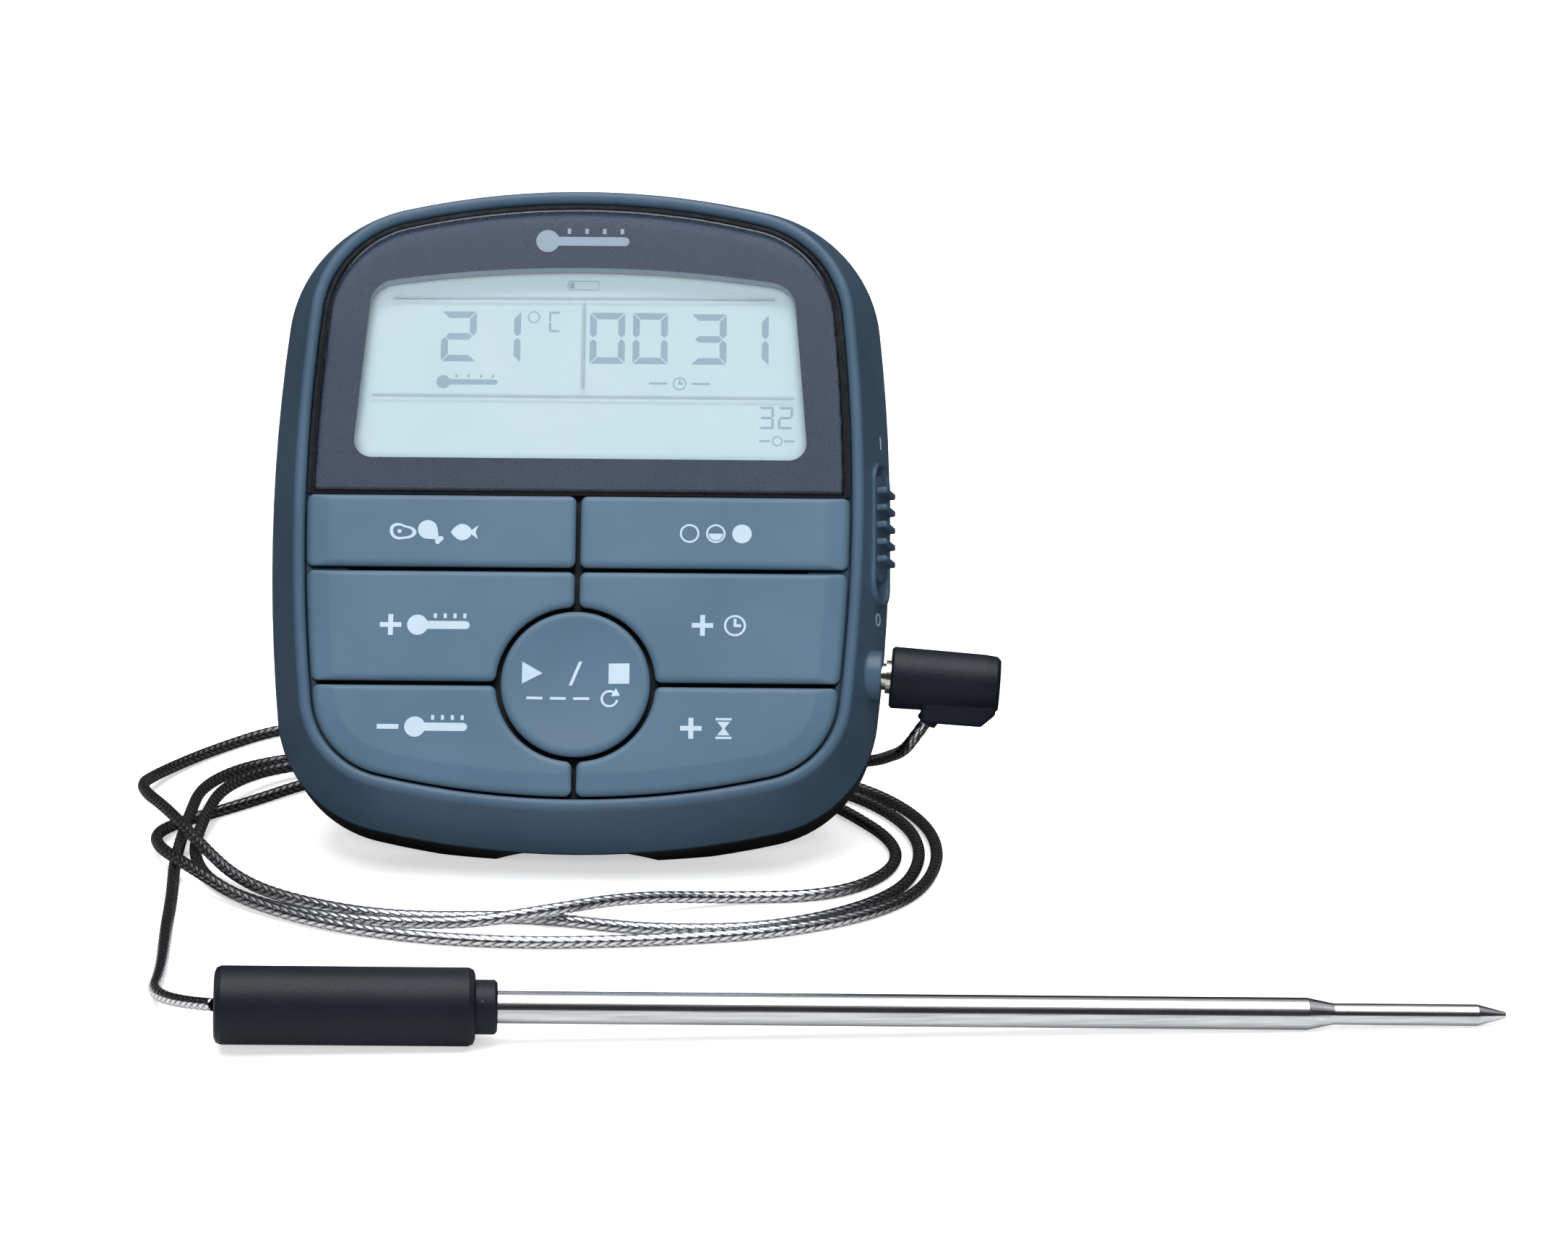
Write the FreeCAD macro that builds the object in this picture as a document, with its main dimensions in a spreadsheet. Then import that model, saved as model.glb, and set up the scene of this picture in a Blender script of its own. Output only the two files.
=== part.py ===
"""Oven and meat thermometer with timer: a leaning desk unit, its plug-in lead and its steel probe.

Row frame: +X to the right of the display, +Y away from the reader, +Z up.  The origin is on the
table, under the middle of the unit and probe together.  Millimetres.

The unit is modelled upright in its own frame and then leans back: x runs across the face, y runs
inwards from the plane of the face, z runs up the face, and the origin is the middle of the round
button on the plane of the rim.
"""
import FreeCAD, Part
import math
import os
from FreeCAD import Placement, Rotation, Vector

X_AXIS = Vector(1, 0, 0)
Y_AXIS = Vector(0, 1, 0)
Z_AXIS = Vector(0, 0, 1)

doc = FreeCAD.newDocument("meat_thermometer")
sheet = doc.addObject("Spreadsheet::Sheet", "sizes")

# alias, value, what it is
DIMENSIONS = [
    ("unit_x", -44.9, "middle of the unit, across"),
    ("unit_y", 15.0, "round button's middle, away from the reader"),
    ("unit_rise", 31.9, "round button's middle above the table"),
    ("lean", 29.0, "lean of the face from upright, degrees"),
    ("half_width", 51.6, "half of the housing's greatest width"),
    ("top_edge", 89.9, "housing's top above the round button"),
    ("bottom_edge", -25.7, "housing's bottom below the round button"),
    ("waist", 32.0, "height of the greatest width"),
    ("side_radius", 313.0, "side arc of the outline"),
    ("top_radius", 133.0, "top arc of the outline"),
    ("bottom_radius", 148.0, "bottom arc of the outline"),
    ("top_corner", 24.6, "upper corner arc of the outline"),
    ("bottom_corner", 21.0, "lower corner arc of the outline"),
    ("rim_inset", 4.8, "rim's outer edge, in from the parting line"),
    ("recess_inset", 6.6, "rim's inner edge, in from the parting line"),
    ("rim_edge", 0.8, "rounding of the rim's edges"),
    ("parting", 13.0, "parting line behind the face"),
    ("unit_depth", 25.0, "face to back"),
    ("rear_inset", 0.5, "back face, in from the parting line"),
    ("wall", 2.3, "housing wall"),
    ("deck_front", 2.8, "front of the deck behind the buttons"),
    ("deck_back", 4.2, "back of the deck behind the buttons"),
    ("key_proud", 0.5, "button faces in front of the rim"),
    ("key_thick", 2.1, "button cap"),
    ("key_gap", 0.35, "half of the gap between two buttons"),
    ("key_travel", 1.0, "button travel"),
    ("key_corner", 1.2, "corner radius of a button"),
    ("key_edge", 0.9, "rounding of a button's front edge"),
    ("crown_width", 3.6, "width of the band where the buttons fall away towards the rim"),
    ("crown_drop", 0.75, "how far the buttons fall away there"),
    ("dish_radius", 11.0, "hollow in the round button's face"),
    ("dish_deep", 0.55, "depth of that hollow"),
    ("row_top", 31.9, "top of the upper row of buttons"),
    ("row_upper", 19.3, "line between the upper two rows"),
    ("round_radius", 12.2, "round button"),
    ("round_gap", 12.95, "opening round the round button"),
    ("stem_radius", 2.2, "button stem"),
    ("stem_end", 5.0, "end of the button stems behind the face"),
    ("board_front", 9.2, "circuit board's front face"),
    ("board_thick", 1.2, "circuit board"),
    ("lens_bottom", 33.1, "lower edge of the display window"),
    ("slot_tilt", 20.3, "slant of the skirt, degrees"),
    ("slot_depth", 8.2, "slide switch recess, behind the face"),
    ("slot_height", 28.1, "slide switch recess, above the round button"),
    ("slot_length", 23.2, "slide switch recess"),
    ("slot_width", 6.4, "slide switch recess"),
    ("slider_length", 18.2, "slide switch button"),
    ("jack_x", 50.0, "face of the jack boss, across"),
    ("jack_depth", 8.7, "jack axis behind the face"),
    ("jack_height", 3.9, "jack axis above the round button"),
    ("jack_slope", 4.0, "jack axis, down from level, degrees"),
    ("boss_radius", 4.2, "jack boss"),
    ("plug_radius", 1.75, "3.5 mm plug"),
    ("pivot_depth", 23.2, "stand pivot behind the face"),
    ("pivot_height", 36.2, "stand pivot above the round button"),
    ("stand_length", 54.5, "stand, pivot to tip"),
    ("stand_thick", 2.6, "stand plate"),
    ("cell_radius", 5.2, "AAA cell"),
    ("cell_length", 44.0, "AAA cell"),
    ("lead_radius", 1.0, "braided lead"),
    ("handle_x", -93.7, "lead end of the probe handle, across"),
    ("handle_y", -73.4, "lead end of the probe handle, away from the reader"),
    ("probe_turn", 4.5, "probe, turned from square to the unit, degrees"),
    ("handle_length", 37.8, "rubber grip"),
    ("handle_radius", 5.75, "rubber grip"),
    ("handle_round", 1.0, "rounding of the grip's ends"),
    ("collar_length", 3.2, "narrow end of the grip"),
    ("collar_radius", 4.0, "narrow end of the grip"),
    ("steel_length", 149.8, "steel outside the grip"),
    ("shaft_radius", 2.4, "probe shaft"),
    ("tip_radius", 1.6, "reduced tip of the shaft"),
    ("tip_length", 28.0, "reduced tip with its cone"),
    ("cone_length", 4.3, "cone at the end of the tip"),
]
for row, (alias, value, meaning) in enumerate(DIMENSIONS, start=1):
    sheet.set(f"A{row}", meaning)
    sheet.set(f"B{row}", str(value))
    sheet.setAlias(f"B{row}", alias)
doc.recompute()

pieces = []


def size(alias):
    """The value of one cell of the sheet."""
    return float(getattr(sheet, alias))


def bind(thing, prop, value):
    """Gives a property a number, or binds it to an expression on the sheet."""
    if isinstance(value, str):
        thing.setExpression(prop, value)
    else:
        setattr(thing, prop, value)


def unit_placement():
    """The unit's own frame in the row's frame: it leans back about X."""
    return Placement(
        Vector(size("unit_x"), size("unit_y"), size("unit_rise")),
        Rotation(X_AXIS, -size("lean")),
    )


def slot_placement():
    """The slide switch's frame in the unit's: x out of the skirt, y along its slope, z up."""
    depth, height = size("slot_depth"), size("slot_height")
    drop = size("rim_inset") * (1 - depth / size("parting"))
    across = half_width_at(height, drop)
    return Placement(Vector(across, depth, height), Rotation(Z_AXIS, -size("slot_tilt")))


def jack_placement():
    """The jack's frame in the unit's: x out of the boss along the plug."""
    place = Vector(size("jack_x"), size("jack_depth"), size("jack_height"))
    return Placement(place, Rotation(Y_AXIS, size("jack_slope")))


def probe_placement():
    """The probe's frame: x from the lead end of the grip to the tip, resting on grip and shaft."""
    reach = size("handle_length") + size("collar_length") + size("steel_length")
    front = size("handle_length") - size("handle_round")
    run = reach - size("tip_length") - 2 - front
    pitch = math.atan((size("handle_radius") - size("shaft_radius")) / run)
    rise = size("handle_radius") * math.cos(pitch) + front * math.sin(pitch)
    turn = Rotation(Z_AXIS, size("probe_turn")) * Rotation(Y_AXIS, math.degrees(pitch))
    return Placement(Vector(size("handle_x"), size("handle_y"), rise), turn)


# --- primitives and booleans -------------------------------------------------------------------


def box(name, low, high):
    """A box from one corner to the other."""
    thing = doc.addObject("Part::Box", name)
    for prop, a, b in zip(("Length", "Width", "Height"), low, high):
        bind(thing, prop, b - a)
    thing.Placement.Base = Vector(*low)
    return thing


def cylinder(name, start, radius, length, axis=Y_AXIS):
    """A cylinder from a point along an axis."""
    thing = doc.addObject("Part::Cylinder", name)
    bind(thing, "Radius", radius)
    bind(thing, "Height", length)
    thing.Placement = Placement(Vector(*start), Rotation(Z_AXIS, axis))
    return thing


def cone(name, start, radius, end_radius, length, axis=Y_AXIS):
    """A cone from a point along an axis."""
    thing = doc.addObject("Part::Cone", name)
    bind(thing, "Radius1", radius)
    bind(thing, "Radius2", end_radius)
    bind(thing, "Height", length)
    thing.Placement = Placement(Vector(*start), Rotation(Z_AXIS, axis))
    return thing


def sphere(name, centre, radius):
    thing = doc.addObject("Part::Sphere", name)
    bind(thing, "Radius", radius)
    thing.Placement.Base = Vector(*centre)
    return thing


def pill(name, length, width, low, high):
    """A round-ended bar that is long in z, wide in y and stands from low to high in x."""
    radius = width / 2
    reach = length / 2 - radius
    parts = [
        box(name + "_bar", (low, -radius, -reach), (high, radius, reach)),
        cylinder(name + "_top", (low, 0, reach), radius, high - low, X_AXIS),
        cylinder(name + "_end", (low, 0, -reach), radius, high - low, X_AXIS),
    ]
    return fuse(name, parts)


def fuse(name, parts):
    thing = doc.addObject("Part::MultiFuse", name)
    thing.Shapes = parts
    thing.Refine = True
    return thing


def cut(name, base, tools):
    """Takes one or more tools away from a base."""
    tool = tools[0] if len(tools) == 1 else fuse(name + "_tools", tools)
    thing = doc.addObject("Part::Cut", name)
    thing.Base = base
    thing.Tool = tool
    return thing


def common(name, first, second):
    thing = doc.addObject("Part::Common", name)
    thing.Base = first
    thing.Tool = second
    return thing


def group(name, parts):
    """Identical pieces that share one node."""
    thing = doc.addObject("Part::Compound", name)
    thing.Links = parts
    return thing


def rounded(name, base, radius, wanted):
    """Fillets the edges of a Part object that a test picks."""
    doc.recompute()
    thing = doc.addObject("Part::Fillet", name)
    thing.Base = base
    chosen = [i for i, edge in enumerate(base.Shape.Edges, start=1) if wanted(edge)]
    thing.Edges = [(i, radius, radius) for i in chosen]
    return thing


def bevelled(name, base, size_of_bevel, wanted):
    """Chamfers the edges of a Part object that a test picks."""
    doc.recompute()
    thing = doc.addObject("Part::Chamfer", name)
    thing.Base = base
    chosen = [i for i, edge in enumerate(base.Shape.Edges, start=1) if wanted(edge)]
    thing.Edges = [(i, size_of_bevel, size_of_bevel) for i in chosen]
    return thing


def moved(thing, place):
    """Carries an object into another frame."""
    thing.Placement = place.multiply(thing.Placement)
    return thing


def keep(thing, label, place):
    """Names a finished sub-part and puts it in the row's frame."""
    moved(thing, place)
    thing.Label = label
    pieces.append(thing)
    return thing


def at_depth(depth):
    """A test for edges that lie in the plane y = depth."""

    def test(edge):
        bounds = edge.BoundBox
        return abs(bounds.YMin - depth) < 1e-4 and abs(bounds.YMax - depth) < 1e-4

    return test


def along_depth(edge):
    """A test for straight edges that run inwards from the face."""
    bounds = edge.BoundBox
    return bounds.XLength < 1e-4 and bounds.ZLength < 1e-4


# --- the housing's outline ---------------------------------------------------------------------


def meeting(first, first_radius, second, second_radius):
    """The two points at given distances from two centres."""
    gap = second - first
    reach = (first_radius**2 - second_radius**2 + gap.Length**2) / (2 * gap.Length)
    rise = math.sqrt(first_radius**2 - reach**2)
    along = Vector(gap).normalize()
    across = Vector(-along.y, along.x, 0)
    foot = first + along * reach
    return foot + across * rise, foot - across * rise


def outline_centres():
    """Centres of the top, side, bottom, upper corner and lower corner arcs on the right half."""
    top = Vector(0, size("top_edge") - size("top_radius"), 0)
    side = Vector(size("half_width") - size("side_radius"), size("waist"), 0)
    bottom = Vector(0, size("bottom_edge") + size("bottom_radius"), 0)
    from_side = size("side_radius") - size("top_corner")
    upper = meeting(top, size("top_radius") - size("top_corner"), side, from_side)
    from_side = size("side_radius") - size("bottom_corner")
    lower = meeting(bottom, size("bottom_radius") - size("bottom_corner"), side, from_side)
    upper_corner = max(upper, key=lambda point: point.x + point.y)
    lower_corner = max(lower, key=lambda point: point.x - point.y)
    return top, side, bottom, upper_corner, lower_corner


def outline_arcs(inset):
    """Eight tangent arcs, anticlockwise: the housing's outline moved inwards."""
    top, side, bottom, upper, lower = outline_centres()
    to_top = math.atan2(upper.y - top.y, upper.x - top.x)
    to_side = math.atan2(upper.y - side.y, upper.x - side.x)
    under_side = math.atan2(side.y - lower.y, lower.x - side.x)
    to_bottom = math.atan2(bottom.y - lower.y, lower.x - bottom.x)
    half = math.pi

    def mirrored(point):
        return Vector(-point.x, point.y, 0)

    spans = [
        (side, size("side_radius"), -under_side, to_side),
        (upper, size("top_corner"), to_side, to_top),
        (top, size("top_radius"), to_top, half - to_top),
        (mirrored(upper), size("top_corner"), half - to_top, half - to_side),
        (mirrored(side), size("side_radius"), half - to_side, half + under_side),
        (mirrored(lower), size("bottom_corner"), half + under_side, half + to_bottom),
        (bottom, size("bottom_radius"), half + to_bottom, 2 * half - to_bottom),
        (lower, size("bottom_corner"), 2 * half - to_bottom, 2 * half - under_side),
    ]
    return [
        Part.ArcOfCircle(Part.Circle(centre, Z_AXIS, radius - inset), start, end)
        for centre, radius, start, end in spans
    ]


def half_width_at(height, inset):
    """Half of the outline's width at a height on its side arcs."""
    side = outline_centres()[1]
    radius = size("side_radius") - inset
    return side.x + math.sqrt(radius**2 - (height - side.y) ** 2)


# --- PartDesign helpers ------------------------------------------------------------------------


def origin_plane(body, role):
    """One of a body's own origin planes."""
    return next(plane for plane in body.Origin.OriginFeatures if plane.Role == role)


def face_sketch(body, name, geometry, depth):
    """A sketch parallel to the face; its own y runs up, and its normal points at the reader."""
    sketch = body.newObject("Sketcher::SketchObject", name)
    sketch.AttachmentSupport = [(origin_plane(body, "XZ_Plane"), "")]
    sketch.MapMode = "FlatFace"
    sketch.AttachmentOffset = Placement(Vector(0, 0, -depth), Rotation())
    sketch.addGeometry(geometry, False)
    return sketch


def side_sketch(body, name, points):
    """A closed sketch of straight lines in the XY plane, to turn about X."""
    sketch = body.newObject("Sketcher::SketchObject", name)
    sketch.AttachmentSupport = [(origin_plane(body, "XY_Plane"), "")]
    sketch.MapMode = "FlatFace"
    corners = [Vector(x, y, 0) for x, y in points]
    for start, end in zip(corners, corners[1:] + corners[:1]):
        sketch.addGeometry(Part.LineSegment(start, end), False)
    return sketch


def padded(body, name, sketch, length, taper=0):
    """Pads a face sketch inwards; a positive taper widens it on the way."""
    pad = body.newObject("PartDesign::Pad", name)
    pad.Profile = sketch
    pad.Reversed = True
    bind(pad, "Length", length)
    bind(pad, "TaperAngle", taper)
    body.Tip = pad
    return pad


def lofted(body, kind, name, first, second):
    """An additive or subtractive ruled loft between two face sketches."""
    loft = body.newObject("PartDesign::" + kind, name)
    loft.Profile = first
    loft.Sections = [second]
    loft.Ruled = True
    body.Tip = loft
    return loft


def turned(name, points):
    """A body made by turning a closed outline of (x, radius) points about X."""
    body = doc.addObject("PartDesign::Body", name)
    sketch = side_sketch(body, name + "_profile", points)
    turn = body.newObject("PartDesign::Revolution", name + "_turned")
    turn.Profile = sketch
    turn.ReferenceAxis = (sketch, ["H_Axis"])
    turn.Angle = 360
    body.Tip = turn
    return body


def dressed(body, kind, name, radius, wanted):
    """Fillets or chamfers the edges of a body's tip that a test picks."""
    doc.recompute()
    tip = body.Tip
    names = [f"Edge{i}" for i, edge in enumerate(tip.Shape.Edges, start=1) if wanted(edge)]
    feature = body.newObject("PartDesign::" + kind, name)
    feature.Base = (tip, names)
    bind(feature, "Radius" if kind == "Fillet" else "Size", radius)
    body.Tip = feature
    return feature


def outline_block(name, inset, front, thickness):
    """A plate with the housing's outline, moved inwards."""
    body = doc.addObject("PartDesign::Body", name)
    sketch = face_sketch(body, name + "_outline", outline_arcs(inset), front)
    padded(body, name + "_pad", sketch, thickness)
    return body


def window_block(name, margin, front, thickness):
    """The display window's opening: arched top, sides that spread downwards, round corners."""
    body = doc.addObject("PartDesign::Body", name)
    foot = 37.7 + margin
    head = 35.2 + margin
    low = 38.7 - margin
    high = 69.2 + margin
    crown = 72.1 + margin
    left_head, right_head = Vector(-head, high, 0), Vector(head, high, 0)
    left_foot, right_foot = Vector(-foot, low, 0), Vector(foot, low, 0)
    edges = [
        Part.Arc(left_head, Vector(0, crown, 0), right_head),
        Part.LineSegment(right_head, right_foot),
        Part.LineSegment(right_foot, left_foot),
        Part.LineSegment(left_foot, left_head),
    ]
    sketch = face_sketch(body, name + "_outline", edges, front)
    padded(body, name + "_pad", sketch, thickness)
    upper = lambda edge: along_depth(edge) and edge.BoundBox.ZMin > 60
    lower = lambda edge: along_depth(edge) and edge.BoundBox.ZMin < 60
    dressed(body, "Fillet", name + "_upper_corners", 4.5 + margin, upper)
    dressed(body, "Fillet", name + "_lower_corners", 3.0 + margin, lower)
    return body


# --- the housing -------------------------------------------------------------------------------

SCREW_SPOTS = [(-37.5, -8.5), (37.5, -8.5), (-30.0, 77.9), (30.0, 77.9)]
BOARD_SCREW_SPOTS = [(-43.0, 37.4), (43.0, 37.4)]
KEY_SPOTS = {
    "meat_button": (-21.0, 25.6),
    "taste_button": (21.0, 25.6),
    "temp_up_button": (-25.0, 9.6),
    "hour_button": (25.0, 9.6),
    "temp_down_button": (-25.0, -8.0),
    "minute_button": (25.0, -8.0),
    "start_stop_button": (0.0, 0.0),
}


def make_front_housing():
    """The blue front shell: rim, flared skirt, deck, switch recess and jack boss."""
    body = doc.addObject("PartDesign::Body", "front_shell")
    rim = face_sketch(body, "rim_outline", outline_arcs(size("rim_inset")), 0)
    padded(body, "skirt", rim, "sizes.parting", "atan(sizes.rim_inset / sizes.parting)")

    recess = outline_block("front_recess", size("recess_inset"), -1, size("deck_front") + 1)
    cavity = doc.addObject("PartDesign::Body", "front_cavity")
    lid = face_sketch(cavity, "cavity_front", outline_arcs(size("wall") * 2), size("deck_back"))
    mouth = face_sketch(cavity, "cavity_back", outline_arcs(size("wall")), size("parting") + 0.01)
    lofted(cavity, "AdditiveLoft", "cavity_loft", lid, mouth)
    hollow = cut("front_hollow", body, [recess, cavity])
    hollow = rounded("rim_edges", hollow, size("rim_edge"), at_depth(0))

    slot = slot_placement()
    jack = jack_placement()
    added = [hollow]
    added.append(moved(pill("slot_lip", size("slot_length") + 1.4, size("slot_width") + 1.4, -3, 0.5), slot))
    added.append(moved(cylinder("jack_boss", (-6, 0, 0), "sizes.boss_radius", 6, X_AXIS), jack))
    for i, (x, z) in enumerate(SCREW_SPOTS):
        length = size("parting") - size("deck_back") + 0.2
        added.append(cylinder(f"front_post{i}", (x, size("deck_back") - 0.2, z), 3.0, length))
    for i, (x, z) in enumerate(BOARD_SCREW_SPOTS):
        length = size("board_front") - size("deck_back") + 0.2
        added.append(cylinder(f"board_post{i}", (x, size("deck_back") - 0.2, z), 2.2, length))
    whole = fuse("front_solid", added)

    taken = [window_block("deck_window", 1.1, 2, 3)]
    for name, (x, z) in KEY_SPOTS.items():
        taken.append(cylinder(name + "_hole", (x, 2, z), size("stem_radius") + 0.4, 3))
    for i, (x, z) in enumerate(SCREW_SPOTS):
        taken.append(cylinder(f"front_pilot{i}", (x, 5.6, z), 1.1, 8))
    for i, (x, z) in enumerate(BOARD_SCREW_SPOTS):
        taken.append(cylinder(f"board_pilot{i}", (x, 5.6, z), 0.8, 6))
    taken.append(moved(pill("slot_recess", size("slot_length"), size("slot_width"), -1.5, 2), slot))
    taken.append(moved(box("slot_slit", (-6, -1.2, -3.8), (0, 1.2, 2.5)), slot))
    taken.append(moved(cylinder("jack_bore", (-7, 0, 0), 3.0, 9, X_AXIS), jack))
    return keep(cut("front_housing", whole, taken), "front_housing", unit_placement())


def make_back_housing():
    """The black back shell: battery tub, stand recess, screw posts and the finger notch."""
    body = doc.addObject("PartDesign::Body", "back_shell")
    parting, rear = size("parting"), size("unit_depth")
    near = face_sketch(body, "back_parting", outline_arcs(0), parting)
    draft = "-atan(sizes.rear_inset / (sizes.unit_depth - sizes.parting))"
    padded(body, "back_pad", near, "sizes.unit_depth - sizes.parting", draft)
    dressed(body, "Fillet", "back_edge", 2.0, at_depth(rear))

    cavity = doc.addObject("PartDesign::Body", "back_cavity")
    mouth = face_sketch(cavity, "back_mouth", outline_arcs(size("wall")), parting - 0.01)
    floor_inset = size("wall") + size("rear_inset")
    floor = face_sketch(cavity, "back_floor", outline_arcs(floor_inset), rear - 2.2)
    lofted(cavity, "AdditiveLoft", "back_cavity_loft", mouth, floor)

    added = [cut("back_hollow", body, [cavity])]
    added.append(box("stand_tub", (-23, 19.4, -21.4), (23, rear - 0.1, 41)))
    added.append(box("battery_tub", (-28.5, 10.9, 44.0), (28.5, rear - 0.1, 71.8)))
    added.append(box("notch_block", (-14, parting + 0.5, -22.6), (14, rear - 2, -18.8)))
    for i, (x, z) in enumerate(SCREW_SPOTS):
        added.append(cylinder(f"back_post{i}", (x, parting + 0.02, z), 3.4, rear - parting - 2))
    for i, x in enumerate((-34.0, 34.0)):
        added.append(cylinder(f"magnet_cup{i}", (x, rear - 4.2, 16), 8.2, 4.0))
    whole = fuse("back_solid", added)

    taken = [
        box("stand_recess", (-21, 21.4, -19.2), (21, rear + 1, 39)),
        box("cell_bay", (-26.5, 11.9, 46.3), (26.5, rear + 1, 69.5)),
        box("door_seat", (-27.4, 22.9, 45.1), (27.4, rear + 1, 70.7)),
    ]
    pivot = (-23.5, size("pivot_depth"), size("pivot_height"))
    taken.append(cylinder("stand_pivot_hole", pivot, 1.25, 47, X_AXIS))
    for i, (x, z) in enumerate(SCREW_SPOTS):
        taken.append(cylinder(f"back_shank{i}", (x, parting - 1, z), 1.3, 8))
        taken.append(cylinder(f"back_counterbore{i}", (x, 17, z), 2.7, 14))
    for i, x in enumerate((-34.0, 34.0)):
        taken.append(cylinder(f"magnet_bore{i}", (x, rear - 2.6, 16), 7.1, 4))
    # The finger notch: a round scoop that deepens towards the back.
    radius = 34.0
    low = (0, parting, size("bottom_edge") - 0.1 - radius)
    taken.append(cylinder("finger_notch", low, radius, 40, Vector(0, 1, 0.3)))
    # The table meets the lower back edge in a flat foot at each side of the notch.
    table = box("table_space", (-80, -80, -20), (80, 80, 0))
    taken.append(moved(table, Placement(Vector(size("unit_x"), size("unit_y"), 0), Rotation())))
    moved(table, unit_placement().inverse())
    return keep(cut("back_housing", whole, taken), "back_housing", unit_placement())


def make_window():
    """The display window: clear lens, printed mask and black bezel."""
    seat = (-60, -3, size("lens_bottom"))
    lens_field = outline_block("lens_field", size("recess_inset") + 1.3, -0.3, 1.5)
    lens = common("lens_plate", lens_field, box("lens_room", seat, (60, 5, 100)))
    lens = rounded("display_window", lens, 0.5, at_depth(-0.3))
    keep(lens, "display_window", unit_placement())

    mask_field = outline_block("mask_field", size("recess_inset") + 1.35, 1.22, 0.18)
    mask = common("mask_plate", mask_field, box("mask_room", seat, (60, 5, 100)))
    mask = cut("display_mask", mask, [window_block("mask_window", 0, 0, 3)])
    keep(mask, "display_mask", unit_placement())

    frame_field = outline_block("bezel_field", size("recess_inset") + 0.25, 1.4, 1.4)
    step_field = outline_block("bezel_step", size("recess_inset") + 0.25, 0.9, 0.6)
    step_room = outline_block("bezel_step_room", size("recess_inset") + 0.85, 0.8, 0.7)
    frame = fuse("bezel_plate", [frame_field, cut("bezel_ring", step_field, [step_room])])
    frame = common("bezel_upper", frame, box("bezel_room", (-60, -3, 32.4), (60, 5, 100)))
    frame = cut("window_bezel", frame, [window_block("bezel_window", 1.1, 0, 4)])
    keep(frame, "window_bezel", unit_placement())


def make_crown():
    """The face that the buttons share: flat, then falling away towards the rim all round."""
    body = doc.addObject("PartDesign::Body", "key_crown")
    inset = size("recess_inset") + size("key_gap") + size("crown_width")
    outline = face_sketch(body, "crown_outline", outline_arcs(inset), -size("key_proud"))
    padded(body, "crown_pad", outline, "sizes.key_thick + 0.2", "atan(sizes.crown_width / sizes.crown_drop)")
    return body


def key_shape(name, x_range, z_range, round_hole, crown):
    """A button cap: its share of the recess, with soft front edges, and its stem."""
    front = -size("key_proud")
    inset = size("recess_inset") + size("key_gap")
    field = outline_block(name + "_field", inset, front, "sizes.key_thick")
    room = box(name + "_room", (x_range[0], -3, z_range[0]), (x_range[1], 5, z_range[1]))
    cap = common(name + "_blank", field, room)
    if round_hole:
        hole = cylinder(name + "_bite", (0, -3, 0), "sizes.round_gap", 8)
        cap = cut(name + "_bitten", cap, [hole])
    cap = rounded(name + "_corners", cap, size("key_corner"), along_depth)
    cap = rounded(name + "_edges", cap, size("key_edge"), at_depth(front))
    cap = common(name + "_cap", cap, crown)
    x, z = KEY_SPOTS[name]
    start = front + size("key_thick") - 0.2
    stem = cylinder(name + "_stem", (x, start, z), "sizes.stem_radius", size("stem_end") - start)
    return fuse(name, [cap, stem])


def make_buttons():
    """Six buttons in three rows and the round one in the middle."""
    gap = size("key_gap")
    edge = 60.0
    left, right = (-edge, -gap), (gap, edge)
    upper = (size("row_upper") + gap, size("row_top"))
    middle = (gap, size("row_upper") - gap)
    lower = (-edge, -gap)
    layout = [
        ("meat_button", left, upper, False),
        ("taste_button", right, upper, False),
        ("temp_up_button", left, middle, True),
        ("hour_button", right, middle, True),
        ("temp_down_button", left, lower, True),
        ("minute_button", right, lower, True),
    ]
    crown = make_crown()
    for name, x_range, z_range, round_hole in layout:
        keep(key_shape(name, x_range, z_range, round_hole, crown), name, unit_placement())
    front = -size("key_proud") - 0.1
    cap = cylinder("round_cap", (0, front, 0), "sizes.round_radius", size("key_thick") + 0.1)
    cap = rounded("round_cap_edge", cap, size("key_edge"), at_depth(front))
    deep = size("dish_deep")
    ball_radius = (size("dish_radius") ** 2 + deep**2) / (2 * deep)
    ball = sphere("round_dish", (0, front + deep - ball_radius, 0), ball_radius)
    cap = cut("round_cap_dished", cap, [ball])
    stem = cylinder("round_stem", (0, 1.4, 0), "sizes.stem_radius", size("stem_end") - 1.4)
    keep(fuse("start_stop_button", [cap, stem]), "start_stop_button", unit_placement())


# --- behind the deck ---------------------------------------------------------------------------


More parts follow.
